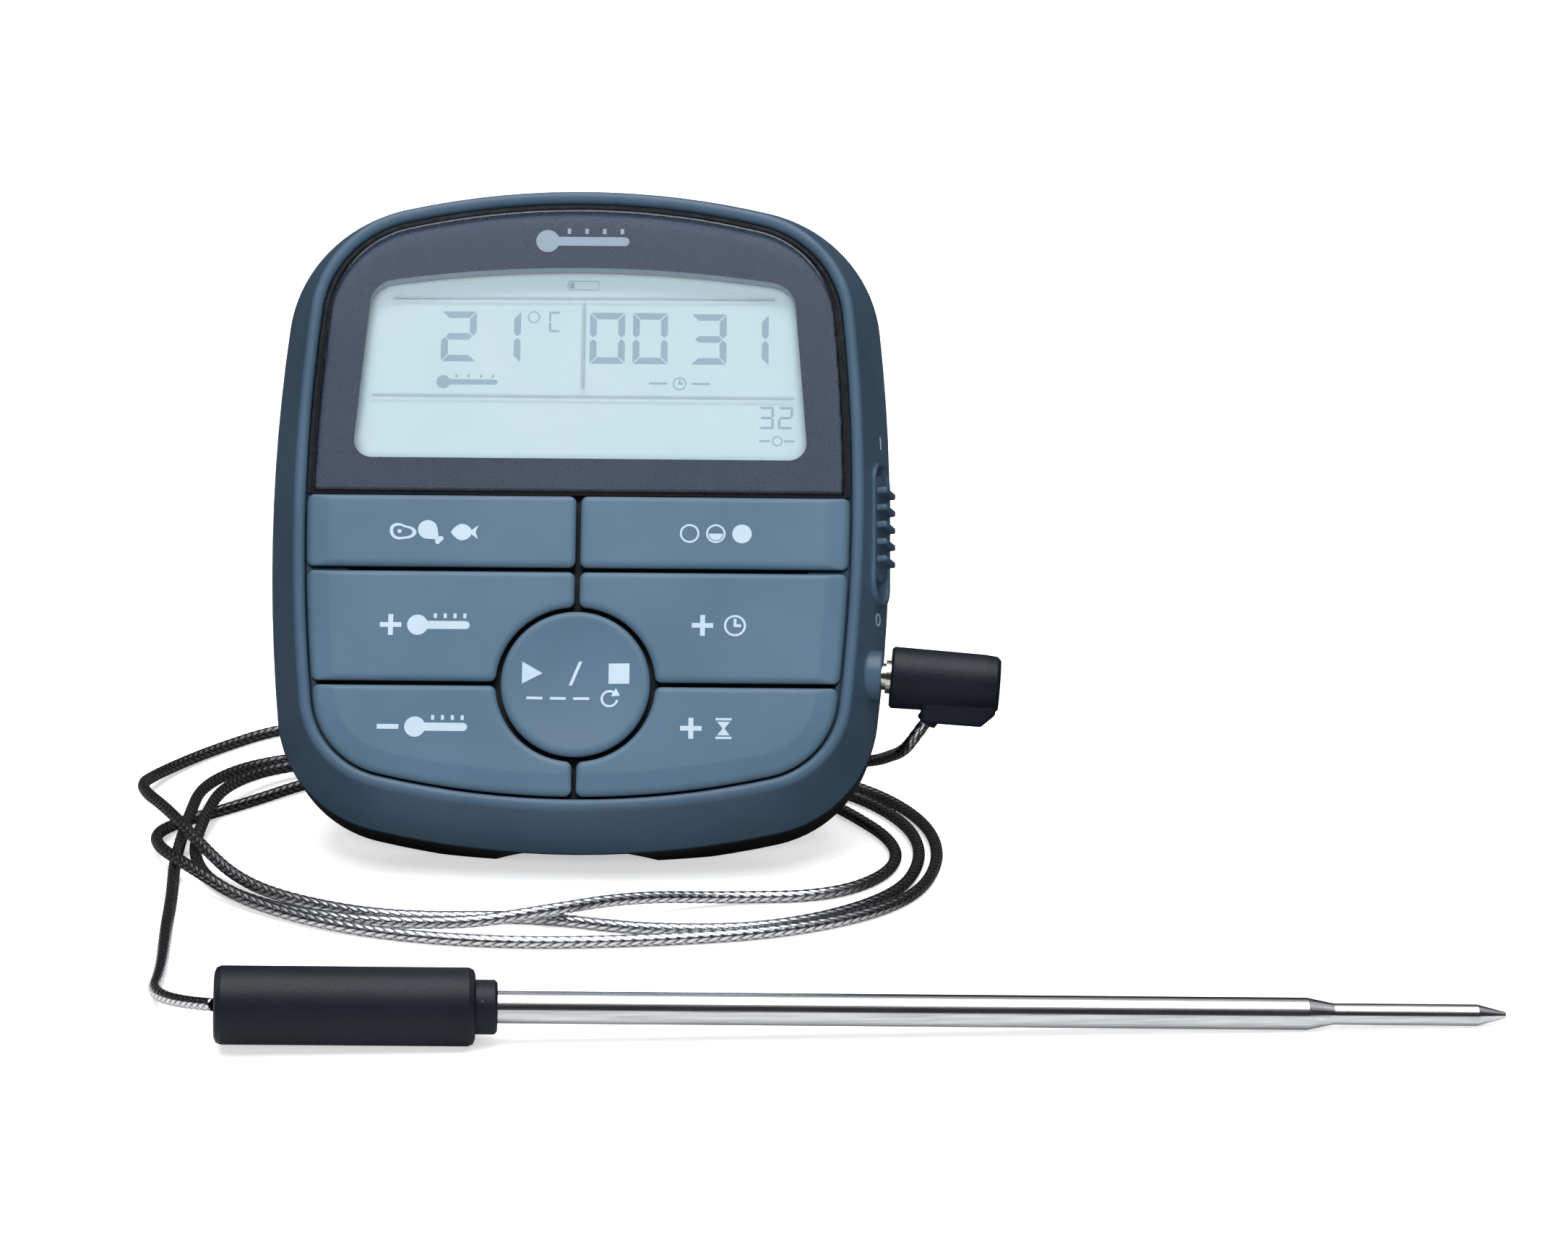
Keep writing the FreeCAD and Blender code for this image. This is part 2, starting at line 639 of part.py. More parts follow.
def make_electronics():
    """Display cell, its frame and strip, keypad, circuit board and what is soldered to it."""
    unit = unit_placement()
    board_front = size("board_front")
    board_back = board_front + size("board_thick")

    glass = box("lcd_glass", (-38.3, 4.6, 36.6), (38.3, 5.7, 73.9))
    glass = common("lcd_panel", glass, outline_block("lcd_field", 6.6, 4, 4))
    keep(glass, "lcd_panel", unit)
    mirror = box("reflector_plate", (-38.3, 5.75, 36.6), (38.3, 6.8, 73.9))
    mirror = common("lcd_reflector", mirror, outline_block("reflector_field", 6.6, 4, 4))
    keep(mirror, "lcd_reflector", unit)
    outer = box("lcd_frame_outer", (-39.4, 4.3, 35.6), (39.4, board_front, 74.6))
    outer = common("lcd_frame_plate", outer, outline_block("lcd_frame_field", 5.4, 4, 8))
    inner = box("lcd_frame_room", (-38.4, 4.5, 36.5), (38.4, 12, 74.0))
    hole = window_block("frame_window", 0.25, 4, 2)
    inner = common("lcd_frame_inner", inner, outline_block("lcd_frame_bore", 6.5, 4.5, 12))
    lip = cut("lcd_lip", window_block("lip_outer", 0.95, 1.5, 3.05), [window_block("lip_inner", 0.25, 1, 4)])
    keep(fuse("lcd_frame", [cut("lcd_tray", outer, [inner, hole]), lip]), "lcd_frame", unit)
    strip = box("zebra_strip", (-34, 6.8, 37.2), (34, board_front, 39.2))
    keep(strip, "zebra_strip", unit)

    sheet_front = board_front - 0.8
    added = [box("keypad_sheet", (-31, sheet_front, -14.0), (31, board_front, 30.4))]
    taken = []
    pills = []
    for name, (x, z) in KEY_SPOTS.items():
        dome_top = size("stem_end") + size("key_travel") + 0.1
        base = (x, sheet_front + 0.01, z)
        added.append(cone(name + "_dome", base, 3.6, 2.5, sheet_front - dome_top, -Y_AXIS))
        taken.append(cylinder(name + "_dome_room", (x, board_front + 0.1, z), 2.1, 1.3, -Y_AXIS))
        pills.append(cylinder(name + "_contact", (x, board_front - 1.2, z), 1.8, 0.6))
    keep(cut("keypad_membrane", fuse("keypad_solid", added), taken), "keypad_membrane", unit)
    keep(group("contact_pills", pills), "contact_pills", unit)

    plate = outline_block("board_plate", 5.6, board_front, "sizes.board_thick")
    holes = [
        cylinder(f"board_hole{i}", (x, 8, z), 3.8, 4) for i, (x, z) in enumerate(SCREW_SPOTS)
    ]
    holes += [
        cylinder(f"board_eye{i}", (x, 8, z), 1.0, 4) for i, (x, z) in enumerate(BOARD_SCREW_SPOTS)
    ]
    holes.append(box("switch_room", (35.5, 8, 21.0), (55, 12, 34.6)))
    holes.append(box("socket_room", (31.8, 8, -2.0), (55, 12, 10.0)))
    keep(cut("circuit_board", plate, holes), "circuit_board", unit)

    chip = box("chip_blank", (-9, board_back, 4), (3, board_back + 1.6, 16))
    keep(rounded("processor_chip", chip, 0.4, at_depth(board_back + 1.6)), "processor_chip", unit)
    crystal = cylinder("crystal", (10, board_back, 8), 1.5, 5.5)
    keep(crystal, "quartz_crystal", unit)
    buzzer = cylinder("buzzer_can", (-31, board_back, 37), 6.0, 4.2)
    buzzer_hole = cylinder("buzzer_hole", (-31, board_back + 3, 37), 1.0, 3)
    keep(cut("buzzer", buzzer, [buzzer_hole]), "buzzer", unit)

    rings = []
    for i, (x, z) in enumerate(BOARD_SCREW_SPOTS):
        head = cylinder(f"board_screw_head{i}", (x, board_back, z), 1.7, 1.1)
        shank = cylinder(f"board_screw_shank{i}", (x, 6.0, z), 0.75, board_back - 5.9)
        rings.append(fuse(f"board_screw{i}", [head, shank]))
    keep(group("board_screws", rings), "board_screws", unit)


def make_power_switch():
    """The ribbed slider on the side, its nub and the switch behind it."""
    frame = unit_placement().multiply(slot_placement())
    centre = 0.9
    base = pill("slider_base", size("slider_length"), 5.6, -1.4, 0.3)
    base = moved(base, Placement(Vector(0, 0, centre), Rotation()))
    ribs = []
    for i in range(5):
        middle = centre + 0.2 + (i - 2) * 2.95
        rib = box(f"slider_rib{i}", (0.2, -2.4, middle - 0.5), (2.0, 2.4, middle + 0.5))
        ribs.append(rounded(f"slider_rib_round{i}", rib, 0.35, lambda edge: edge.BoundBox.XMin > 1.9))
    lever = box("slider_lever", (-4.6, -0.9, 0.2), (-1.3, 0.9, 2.0))
    keep(fuse("power_slider", [base, lever] + ribs), "power_slider", frame)
    nub = box("switch_nub", (-6.6, -0.5, 0.6), (-4.6, 0.5, 1.6))
    keep(nub, "switch_nub", frame)
    case = box("switch_case", (-11.0, -2.6, -5.5), (-5.2, 2.2, 5.0))
    slot = box("switch_case_slot", (-7.4, -0.8, -4.0), (-5.0, 0.8, 3.0))
    keep(cut("power_switch", case, [slot]), "power_switch", frame)


def make_battery_parts():
    """Two AAA cells, their contacts and springs, and the door."""
    unit = unit_placement()
    radius = size("cell_radius")
    half = size("cell_length") / 2
    cells = []
    springs = []
    plates = []
    for i, z in enumerate((52.6, 63.2)):
        way = 1 if i == 0 else -1
        axis = Vector(way, 0, 0)
        y = 17.4
        start = Vector(-way * half - way * 0.6, y, z)
        can = cylinder(f"cell_can{i}", tuple(start), "sizes.cell_radius", 2 * half - 1.0, axis)
        nub = cylinder(f"cell_nub{i}", tuple(start + axis * (2 * half - 1.1)), 1.9, 1.1, axis)
        cells.append(fuse(f"cell{i}", [can, nub]))
        coil = cone(f"cell_spring{i}", tuple(start - axis * 3.5), 3.6, 2.4, 3.5, axis)
        bore = cone(f"cell_spring_bore{i}", tuple(start - axis * 3.6), 2.9, 1.7, 3.7, axis)
        springs.append(cut(f"spring{i}", coil, [bore]))
        for end, x in (("minus", start.x - way * 3.5), ("plus", start.x + way * 2 * half)):
            outer = x - way * 0.4 if end == "minus" else x + way * 0.4
            low = (min(x, outer), y - 4.5, z - 4.2)
            high = (max(x, outer), y + 4.5, z + 4.2)
            plates.append(box(f"contact_{end}{i}", low, high))
    keep(group("batteries", cells), "batteries", unit)
    keep(group("battery_springs", springs), "battery_springs", unit)
    keep(group("battery_contacts", plates), "battery_contacts", unit)

    door = box("door_plate", (-27.2, 23.0, 45.3), (27.2, size("unit_depth"), 70.5))
    door = rounded("door_rounded", door, 0.4, at_depth(size("unit_depth")))
    grips = [
        cylinder(f"door_grip{i}", (-6, size("unit_depth") + 0.25, 62 + 2 * i), 0.6, 12, X_AXIS)
        for i in range(4)
    ]
    keep(cut("battery_door", door, grips), "battery_door", unit)


def make_stand():
    """The fold-out stand, open, with its stub pins in the back housing."""
    length = size("stand_length")
    thick = size("stand_thick") / 2
    plate = box("stand_plate", (-20.6, -thick, -length + thick), (20.6, thick, 0))
    barrel = cylinder("stand_barrel", (-20.6, 0, 0), 1.5, 41.2, X_AXIS)
    tip = cylinder("stand_tip", (-20.6, 0, -length + thick), thick, 41.2, X_AXIS)
    pin = cylinder("stand_pin", (-22.6, 0, 0), 1.2, 45.2, X_AXIS)
    relief = box("stand_relief", (-13, 0.2, -length + 12), (13, 3, -12))
    whole = cut("stand_solid", fuse("stand_blank", [plate, barrel, tip, pin]), [relief])
    pivot = Vector(0, size("pivot_depth"), size("pivot_height"))
    height = unit_placement().multVec(pivot).z
    reach = length - thick
    swing = size("lean") + math.degrees(math.acos((height - thick) / reach))
    print("stand opens", round(swing, 2), "degrees; pivot", unit_placement().multVec(pivot))
    opened = Placement(pivot, Rotation(X_AXIS, swing))
    keep(whole, "stand", unit_placement().multiply(opened))


def make_screws_and_magnets():
    unit = unit_placement()
    screws = []
    for i, (x, z) in enumerate(SCREW_SPOTS):
        head = cylinder(f"screw_head{i}", (x, 17.0, z), 2.4, 1.8)
        shank = cylinder(f"screw_shank{i}", (x, 6.4, z), 1.05, 10.7)
        drive = [
            box(f"screw_drive_a{i}", (x - 1.4, 18.0, z - 0.3), (x + 1.4, 20, z + 0.3)),
            box(f"screw_drive_b{i}", (x - 0.3, 18.0, z - 1.4), (x + 0.3, 20, z + 1.4)),
        ]
        screws.append(cut(f"screw{i}", fuse(f"screw_blank{i}", [head, shank]), drive))
    keep(group("housing_screws", screws), "housing_screws", unit)
    rear = size("unit_depth")
    magnets = [
        cylinder(f"magnet{i}", (x, rear - 2.6, 16), 7.0, 2.6) for i, x in enumerate((-34.0, 34.0))
    ]
    keep(group("magnets", magnets), "magnets", unit)


# --- jack, plug and lead -----------------------------------------------------------------------


def make_jack_and_plug():
    """The 3.5 mm socket in its boss and the right-angled plug in it."""
    frame = unit_placement().multiply(jack_placement())
    radius = size("plug_radius")
    case = box("socket_case", (-18, -2.7, -3.2), (-6.1, 2.7, 3.2))
    nose = cylinder("socket_nose", (-6.2, 0, 0), 2.95, 6.0, X_AXIS)
    bore = cylinder("socket_bore", (-16.5, 0, 0), radius + 0.05, 17, X_AXIS)
    keep(cut("jack_socket", fuse("socket_solid", [case, nose]), [bore]), "jack_socket", frame)

    plug = frame.multiply(Placement(Vector(), Rotation(X_AXIS, size("lean"))))
    waist = radius - 0.35
    sleeve = [
        (-9.6, 0), (-9.6, radius), (0.15, radius), (0.15, 2.2), (0.8, 2.2),
        (0.8, 2.75), (1.6, 2.75), (1.6, 1.9), (12.0, 1.9), (12.0, 0),
    ]
    keep(turned("plug_sleeve", sleeve), "plug_sleeve", plug)
    ring = [(-10.4, 0), (-10.4, radius), (-9.6, radius), (-9.6, 0)]
    keep(turned("plug_insulator", ring), "plug_insulator", plug)
    tip = [
        (-14.0, 0), (-14.0, 0.5), (-12.6, radius), (-11.8, waist), (-11.2, radius),
        (-10.4, radius), (-10.4, 0),
    ]
    keep(turned("plug_tip", tip), "plug_tip", plug)

    body = [(1.6, 0), (1.6, 4.7), (2.0, 5.1), (17.0, 4.9), (19.0, 4.7), (19.6, 4.1), (19.7, 0)]
    grip = turned("plug_grip", body)
    heel = 6.5
    block = box("plug_heel", (7.0, -3.9, -heel), (19.2, 3.9, 0))
    far_corner = lambda edge: edge.BoundBox.XMin > 19 and edge.BoundBox.ZMax < 0.1 - heel
    block = bevelled("plug_heel_corner", block, 2.2, far_corner)
    block = rounded("plug_heel_edges", block, 0.8, lambda edge: edge.BoundBox.ZMin < -0.5)
    slant = Vector(-0.5, 0.1, -0.86).normalize()
    inside = Vector(9.2, 0, 1.3 - heel)
    gland = cylinder("plug_gland", tuple(inside), 1.75, 2.2, slant)
    room = turned("plug_sleeve_room", [(1.0, 0), (1.0, 1.9), (12.0, 1.9), (12.0, 0)])
    keep(cut("plug_body", fuse("plug_solid", [grip, block, gland]), [room]), "plug_body", plug)
    leaves = plug.multVec(inside + slant * 2.2)
    print("lead leaves the plug at", leaves, "towards", plug.Rotation.multVec(slant))
    return leaves


# The lead's route, from the plug to the probe's grip: out behind the unit, three loose turns
# round it on the table, then out to the grip.  The first and last points are worked out.
# x and y are from the middle of the unit's round button, z is from the table.
LEAD_ROUTE = [
    (55.85, 9.85, 20.8),
    (54.5, 11.4, 18.4),
    (53.3, 14.4, 16.6),
    (52.4, 19.8, 14.7),
    (50.0, 28.0, 11.4),
    (44.5, 40.0, 7.6),
    (33.5, 54.5, 4.6),
    (16.0, 71.5, 3.4),
    (-8.0, 85.0, 1.2),
    (-35.0, 90.5, 1.05),
    (-56.0, 84.5, 1.05),
    (-68.0, 67.5, 1.05),
    (-75.5, 50.0, 1.6),
    (-76.5, 34.5, 3.9),
    (-69.0, 18.0, 4.6),
    (-62.0, 1.5, 3.9),
    (-54.0, -11.5, 1.5),
    (-43.0, -21.5, 1.05),
    (-27.0, -29.0, 1.05),
    (-6.0, -27.5, 1.05),
    (13.0, -34.5, 1.05),
    (34.0, -32.5, 1.05),
    (52.0, -16.5, 1.05),
    (57.5, 5.0, 1.05),
    (55.5, 26.0, 1.05),
    (45.0, 45.5, 1.05),
    (24.0, 62.0, 1.05),
    (-3.0, 67.0, 1.05),
    (-31.0, 64.5, 1.05),
    (-53.0, 55.0, 2.2),
    (-62.0, 38.0, 3.4),
    (-63.4, 20.0, 3.0),
    (-63.5, 2.0, 1.05),
    (-56.0, -16.5, 1.05),
    (-40.0, -29.5, 1.05),
    (-17.0, -35.0, 1.9),
    (-4.0, -32.0, 3.3),
    (10.0, -24.0, 3.3),
    (25.0, -17.0, 1.05),
    (42.0, -15.5, 1.05),
    (52.0, -3.0, 1.05),
    (53.5, 13.5, 1.05),
    (45.0, 33.0, 1.05),
    (35.0, 49.0, 1.05),
    (18.0, 60.5, 1.05),
    (-5.0, 62.8, 1.05),
    (-29.0, 60.5, 1.05),
    (-47.0, 50.0, 1.05),
    (-58.5, 33.5, 1.05),
    (-70.5, 20.0, 1.05),
    (-70.0, 4.5, 2.8),
    (-62.0, -10.5, 3.5),
    (-51.0, -24.0, 1.6),
    (-33.0, -36.0, 1.05),
    (-10.0, -41.5, 1.05),
    (14.0, -39.5, 1.05),
    (37.0, -33.8, 1.05),
    (54.5, -19.0, 1.05),
    (60.5, 4.5, 1.05),
    (58.5, 28.0, 1.05),
    (47.5, 49.0, 1.05),
    (26.0, 65.5, 1.05),
    (-3.0, 71.0, 1.05),
    (-32.0, 68.5, 1.05),
    (-56.0, 58.5, 2.2),
    (-65.8, 39.0, 3.4),
    (-66.0, 19.5, 3.0),
    (-66.0, 1.0, 1.05),
    (-64.0, -18.0, 1.05),
    (-62.6, -37.0, 1.05),
    (-60.8, -56.0, 1.05),
    (-60.2, -74.5, 2.6),
]


def rounded_path(points):
    """Straight runs joined by tangent arcs, each as large as its two runs allow."""
    edges = []
    radii = []
    start = points[0]
    for before, corner, after in zip(points, points[1:], points[2:]):
        arriving = corner - before
        leaving = after - corner
        half_turn = arriving.getAngle(leaving) / 2
        trim = 0.45 * min(arriving.Length, leaving.Length)
        radii.append((trim / math.tan(half_turn), math.degrees(2 * half_turn)))
        arc_start = corner - Vector(arriving).normalize() * trim
        arc_end = corner + Vector(leaving).normalize() * trim
        chord_middle = (arc_start + arc_end) / 2
        depth = (arc_end - arc_start).Length / 2 * math.tan(half_turn / 2)
        middle = chord_middle + (corner - chord_middle).normalize() * depth
        edges.append(Part.LineSegment(start, arc_start).toShape())
        edges.append(Part.Arc(arc_start, middle, arc_end).toShape())
        start = arc_end
    edges.append(Part.LineSegment(start, points[-1]).toShape())
    return Part.Wire(edges), radii


def make_lead(leaves):
    """The braided lead: one tube along its route."""
    offset = Vector(size("unit_x"), size("unit_y"), 0)
    arrives = probe_placement().Base
    points = [leaves] + [Vector(*point) + offset for point in LEAD_ROUTE] + [arrives]
    path, radii = rounded_path(points)
    radius = size("lead_radius")
    start = Part.Circle(points[0], points[1] - points[0], radius).toShape()
    tube = path.makePipeShell([Part.Wire([start])], True, False)
    lead = doc.addObject("Part::Feature", "lead")
    lead.Shape = tube
    keep(lead, "lead", Placement())
    section = math.pi * radius**2
    print("lead is", round(path.Length, 1), "mm long; volume", round(tube.Volume, 1), "against",
          round(section * path.Length, 1))
    print("lead radii and turns:", [(round(r, 1), round(turn)) for r, turn in radii])


# --- the probe ---------------------------------------------------------------------------------


def make_probe():
    """Rubber grip, crimp, steel tube, wires and sensor bead."""
    place = probe_placement()
    grip_end = size("handle_length")
    collar_end = grip_end + size("collar_length")
    tip_end = collar_end + size("steel_length")
    soft = size("handle_round")
    wide, narrow = size("handle_radius"), size("collar_radius")
    shaft, tip = size("shaft_radius"), size("tip_radius")

    grip = [
        (0, 0), (0, wide - soft), (0.3 * soft, wide - 0.3 * soft), (soft, wide),
        (grip_end - soft, wide), (grip_end - 0.3 * soft, wide - 0.3 * soft), (grip_end, wide - soft),
        (grip_end, narrow), (collar_end - 0.4, narrow), (collar_end, narrow - 0.4), (collar_end, 0),
    ]
    grip_solid = turned("grip_solid", grip)
    rooms = [
        turned("shaft_room", [(18, 0), (18, shaft), (collar_end + 1, shaft), (collar_end + 1, 0)]),
        turned("crimp_room", [(8, 0), (8, 2.9), (24, 2.9), (24, 0)]),
    ]
    keep(cut("probe_handle", grip_solid, rooms), "probe_handle", place)

    crimp = turned("crimp_solid", [(8, 0), (8, 2.9), (24, 2.9), (24, 0)])
    crimp_room = turned("crimp_bore", [(12, 0), (12, shaft), (25, shaft), (25, 0)])
    keep(cut("crimp_sleeve", crimp, [crimp_room]), "crimp_sleeve", place)

    step = tip_end - size("tip_length")
    outside = [
        (18, shaft - 0.4), (18, shaft), (step - 2, shaft), (step + 2, tip),
        (tip_end - size("cone_length"), tip), (tip_end, 0.5), (tip_end, 0),
        (tip_end - 3.5, 0), (tip_end - 4.5, tip - 0.4), (step + 2, tip - 0.4), (step - 2, shaft - 0.4),
    ]
    keep(turned("probe_shaft", outside), "probe_shaft", place)
    bead = cylinder("temperature_sensor", (tip_end - 9.5, 0, 0), tip - 0.45, 4.5, X_AXIS)
    keep(bead, "temperature_sensor", place)
    wires = [
        cylinder(f"sensor_wire{i}", (12.0, y, 0), 0.35, tip_end - 9.5 - 12.0, X_AXIS)
        for i, y in enumerate((-0.5, 0.5))
    ]
    keep(group("sensor_wires", wires), "sensor_wires", place)


# --- everything --------------------------------------------------------------------------------

make_front_housing()
make_back_housing()
make_window()
make_buttons()
make_electronics()
make_power_switch()
make_battery_parts()
make_stand()
make_screws_and_magnets()
lead_start = make_jack_and_plug()
make_lead(lead_start)
make_probe()
doc.recompute()

for thing in doc.Objects:
    if "Invalid" in thing.State or "Error" in thing.State:
        raise RuntimeError(f"{thing.Name} failed: {thing.State}")
for piece in pieces:
    if piece.Shape.isNull() or not piece.Shape.isValid():
        raise RuntimeError(f"{piece.Label} is null or not valid")

os.makedirs("parts", exist_ok=True)
for piece in pieces:
    piece.Shape.exportStep(os.path.join("parts", piece.Label + ".step"))
    solids = piece.Shape.Solids
    print(piece.Label, len(solids), "solids", round(sum(s.Volume for s in solids), 1), "mm3")
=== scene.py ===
"""Probe meat thermometer with timer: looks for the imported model.

Metres, +Z up, with the front towards -Y.
"""

import math

import bpy
from mathutils import Matrix, Vector
from mathutils.bvhtree import BVHTree


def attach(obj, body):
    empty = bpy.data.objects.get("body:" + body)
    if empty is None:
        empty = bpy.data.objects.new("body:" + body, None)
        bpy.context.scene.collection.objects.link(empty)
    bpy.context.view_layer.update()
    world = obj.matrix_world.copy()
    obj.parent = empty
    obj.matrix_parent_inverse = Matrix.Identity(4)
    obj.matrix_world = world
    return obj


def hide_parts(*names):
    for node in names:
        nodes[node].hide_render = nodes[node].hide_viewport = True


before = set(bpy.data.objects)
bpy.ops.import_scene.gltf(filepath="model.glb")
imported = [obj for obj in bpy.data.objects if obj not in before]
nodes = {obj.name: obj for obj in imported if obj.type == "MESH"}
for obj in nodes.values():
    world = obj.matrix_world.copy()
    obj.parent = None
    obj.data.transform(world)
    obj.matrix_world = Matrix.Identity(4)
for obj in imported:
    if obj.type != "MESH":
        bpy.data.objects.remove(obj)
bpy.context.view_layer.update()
scene = bpy.context.scene

MM = 0.001
UNIT_PLACE = (-44.9, 15.0, 31.9)
LEAN = math.radians(29.0)
PROBE_TURN = math.radians(4.5)


def unit_point(u, d, v):
    """The point u across, d behind and v up the leaning face, in millimetres.

    They are counted from the middle of the round button.
    """
    y = v * math.sin(LEAN) + d * math.cos(LEAN)
    z = v * math.cos(LEAN) - d * math.sin(LEAN)
    return Vector((UNIT_PLACE[0] + u, UNIT_PLACE[1] + y, UNIT_PLACE[2] + z)) * MM


def unit_way(u, d, v):
    """The direction of a step of u, d and v, with length 1."""
    return (unit_point(u, d, v) - unit_point(0, 0, 0)).normalized()


# ---------------------------------------------------------------- camera


CAMERA_PLACE = (-0.0155, -0.6952, 0.2205)
CAMERA_YAW = math.radians(0.36)
CAMERA_PITCH = math.radians(14.0)
CAMERA_ROLL = math.radians(0.58)
CAMERA_LENS = 103.59
CAMERA_SENSOR = 36


def add_camera():
    yaw, pitch, roll = CAMERA_YAW, CAMERA_PITCH, CAMERA_ROLL
    forward = Vector(
        (math.sin(yaw) * math.cos(pitch), math.cos(yaw) * math.cos(pitch), -math.sin(pitch))
    )
    level = Vector((math.cos(yaw), -math.sin(yaw), 0))
    up = level.cross(forward)
    across = level * math.cos(roll) + up * math.sin(roll)
    upward = up * math.cos(roll) - level * math.sin(roll)
    data = bpy.data.cameras.new("camera")
    data.sensor_width = CAMERA_SENSOR
    data.lens = CAMERA_LENS
    camera = bpy.data.objects.new("camera", data)
    scene.collection.objects.link(camera)
    turn = Matrix((across, upward, -forward)).transposed().to_4x4()
    camera.matrix_world = Matrix.Translation(CAMERA_PLACE) @ turn
    scene.camera = camera


add_camera()


# ---------------------------------------------------------------- shaders


def shade(red, green, blue):
    """A screen colour from 0 to 255, as the linear colour that shaders take."""
    linear = []
    for level in (red, green, blue):
        level = level / 255
        linear.append(level / 12.92 if level <= 0.04045 else ((level + 0.055) / 1.055) ** 2.4)
    return (*linear, 1)


class Paint:
    """A node material round one Principled shader, patterned by the piece's own coordinates.

    The constants are set straight on the shader's sockets of those names.
    """

    def __init__(self, name, coordinates="Object", **constants):
        self.material = bpy.data.materials.new(name)
        self.material.use_nodes = True
        self.tree = self.material.node_tree
        self.shader = self.tree.nodes["Principled BSDF"]
        self.where = self.add("ShaderNodeTexCoord").outputs[coordinates]
        for setting, value in constants.items():
            socket = setting.replace("_", " ").title().replace("Ior", "IOR")
            self.shader.inputs[socket].default_value = value

    def add(self, kind, inputs=(), **settings):
        """A node of that kind. Its inputs are values or the outputs of other nodes."""
        node = self.tree.nodes.new(kind)
        for name, value in settings.items():
            setattr(node, name, value)
        for key, value in dict(inputs).items():
            if isinstance(value, bpy.types.NodeSocket):
                self.tree.links.new(value, node.inputs[key])
            else:
                node.inputs[key].default_value = value
        return node

    def calculate(self, operation, *values):
        return self.add("ShaderNodeMath", enumerate(values), operation=operation).outputs[0]

    def vector(self, operation, first, second):
        return self.add("ShaderNodeVectorMath", {0: first, 1: second}, operation=operation)

    def stretched(self, scale, turn=(0, 0, 0)):
        """The coordinates turned by minus turn, then scaled."""
        turned = self.add(
            "ShaderNodeVectorRotate",
            {"Vector": self.where, "Rotation": [-a for a in turn]},
            rotation_type="EULER_XYZ",
        )
        return self.vector("MULTIPLY", turned.outputs[0], scale).outputs[0]

    def noise(self, scale, detail, where=None):
        inputs = {"Vector": where or self.where, "Scale": scale, "Detail": detail}
        return self.add("ShaderNodeTexNoise", inputs).outputs[0]

    def ramp(self, factor, *stops):
        """A colour for each place of factor. The stops are (place, colour) pairs."""
        node = self.add("ShaderNodeValToRGB", {0: factor})
        elements = node.color_ramp.elements
        while len(elements) < len(stops):
            elements.new(0.5)
        for element, (place, colour) in zip(elements, stops):
            element.position = place
            element.color = colour
        return node.outputs[0]

    def span(self, factor, low, high, from_low=0.3, from_high=0.7):
        """From low to high while the factor goes from from_low to from_high."""
        inputs = {0: factor, 1: from_low, 2: from_high, 3: low, 4: high}
        return self.add("ShaderNodeMapRange", inputs).outputs[0]

    def blend(self, factor, first, second):
        """The first colour where the factor is 0, the second where it is 1."""
        inputs = {0: factor, 6: first, 7: second}
        return self.add("ShaderNodeMix", inputs, data_type="RGBA").outputs[2]

    def along(self, start, axis):
        """How far the place is from the start, counted along the axis."""
        away = self.vector("SUBTRACT", self.where, start).outputs[0]
        return self.vector("DOT_PRODUCT", away, axis).outputs["Value"]

    def inside_oval(self, height, half_width, half_height):
        """1 within an oval on the unit's face, whose middle is at the height. Millimetres in."""
        middle = unit_point(0, 0, height)
        across = self.along(middle, unit_way(1, 0, 0) / (half_width * MM))
        upward = self.along(middle, unit_way(0, 0, 1) / (half_height * MM))
        squares = [self.calculate("MULTIPLY", share, share) for share in (across, upward)]
        return self.calculate("LESS_THAN", self.calculate("ADD", *squares), 1.0)

    def specks(self, scale, share, size):
        """1 on small scattered dots: share of the cells hold one."""
        cells = self.add("ShaderNodeTexVoronoi", {"Vector": self.where, "Scale": scale})
        near = self.calculate("LESS_THAN", cells.outputs["Distance"], size)
        channels = self.add("ShaderNodeSeparateColor", {0: cells.outputs["Color"]})
        chosen = self.calculate("LESS_THAN", channels.outputs[0], share)
        return self.calculate("MULTIPLY", near, chosen)

    def set(self, socket, value):
        self.tree.links.new(value, self.shader.inputs[socket])

    def bump(self, height, distance, strength=1.0, soft=0.0):
        inputs = {"Height": height, "Distance": distance, "Strength": strength}
        if soft:
            inputs["Normal"] = self.add("ShaderNodeBevel", {"Radius": soft}, samples=6).outputs[0]
        self.set("Normal", self.add("ShaderNodeBump", inputs).outputs[0])


PATCH_SCALE = 55
DUST_SCALE = 420
DUST_SIZE = 0.055
# The colour painted as shade deep in the gaps between parts.
GAP_SHADOW = shade(8, 10, 13)


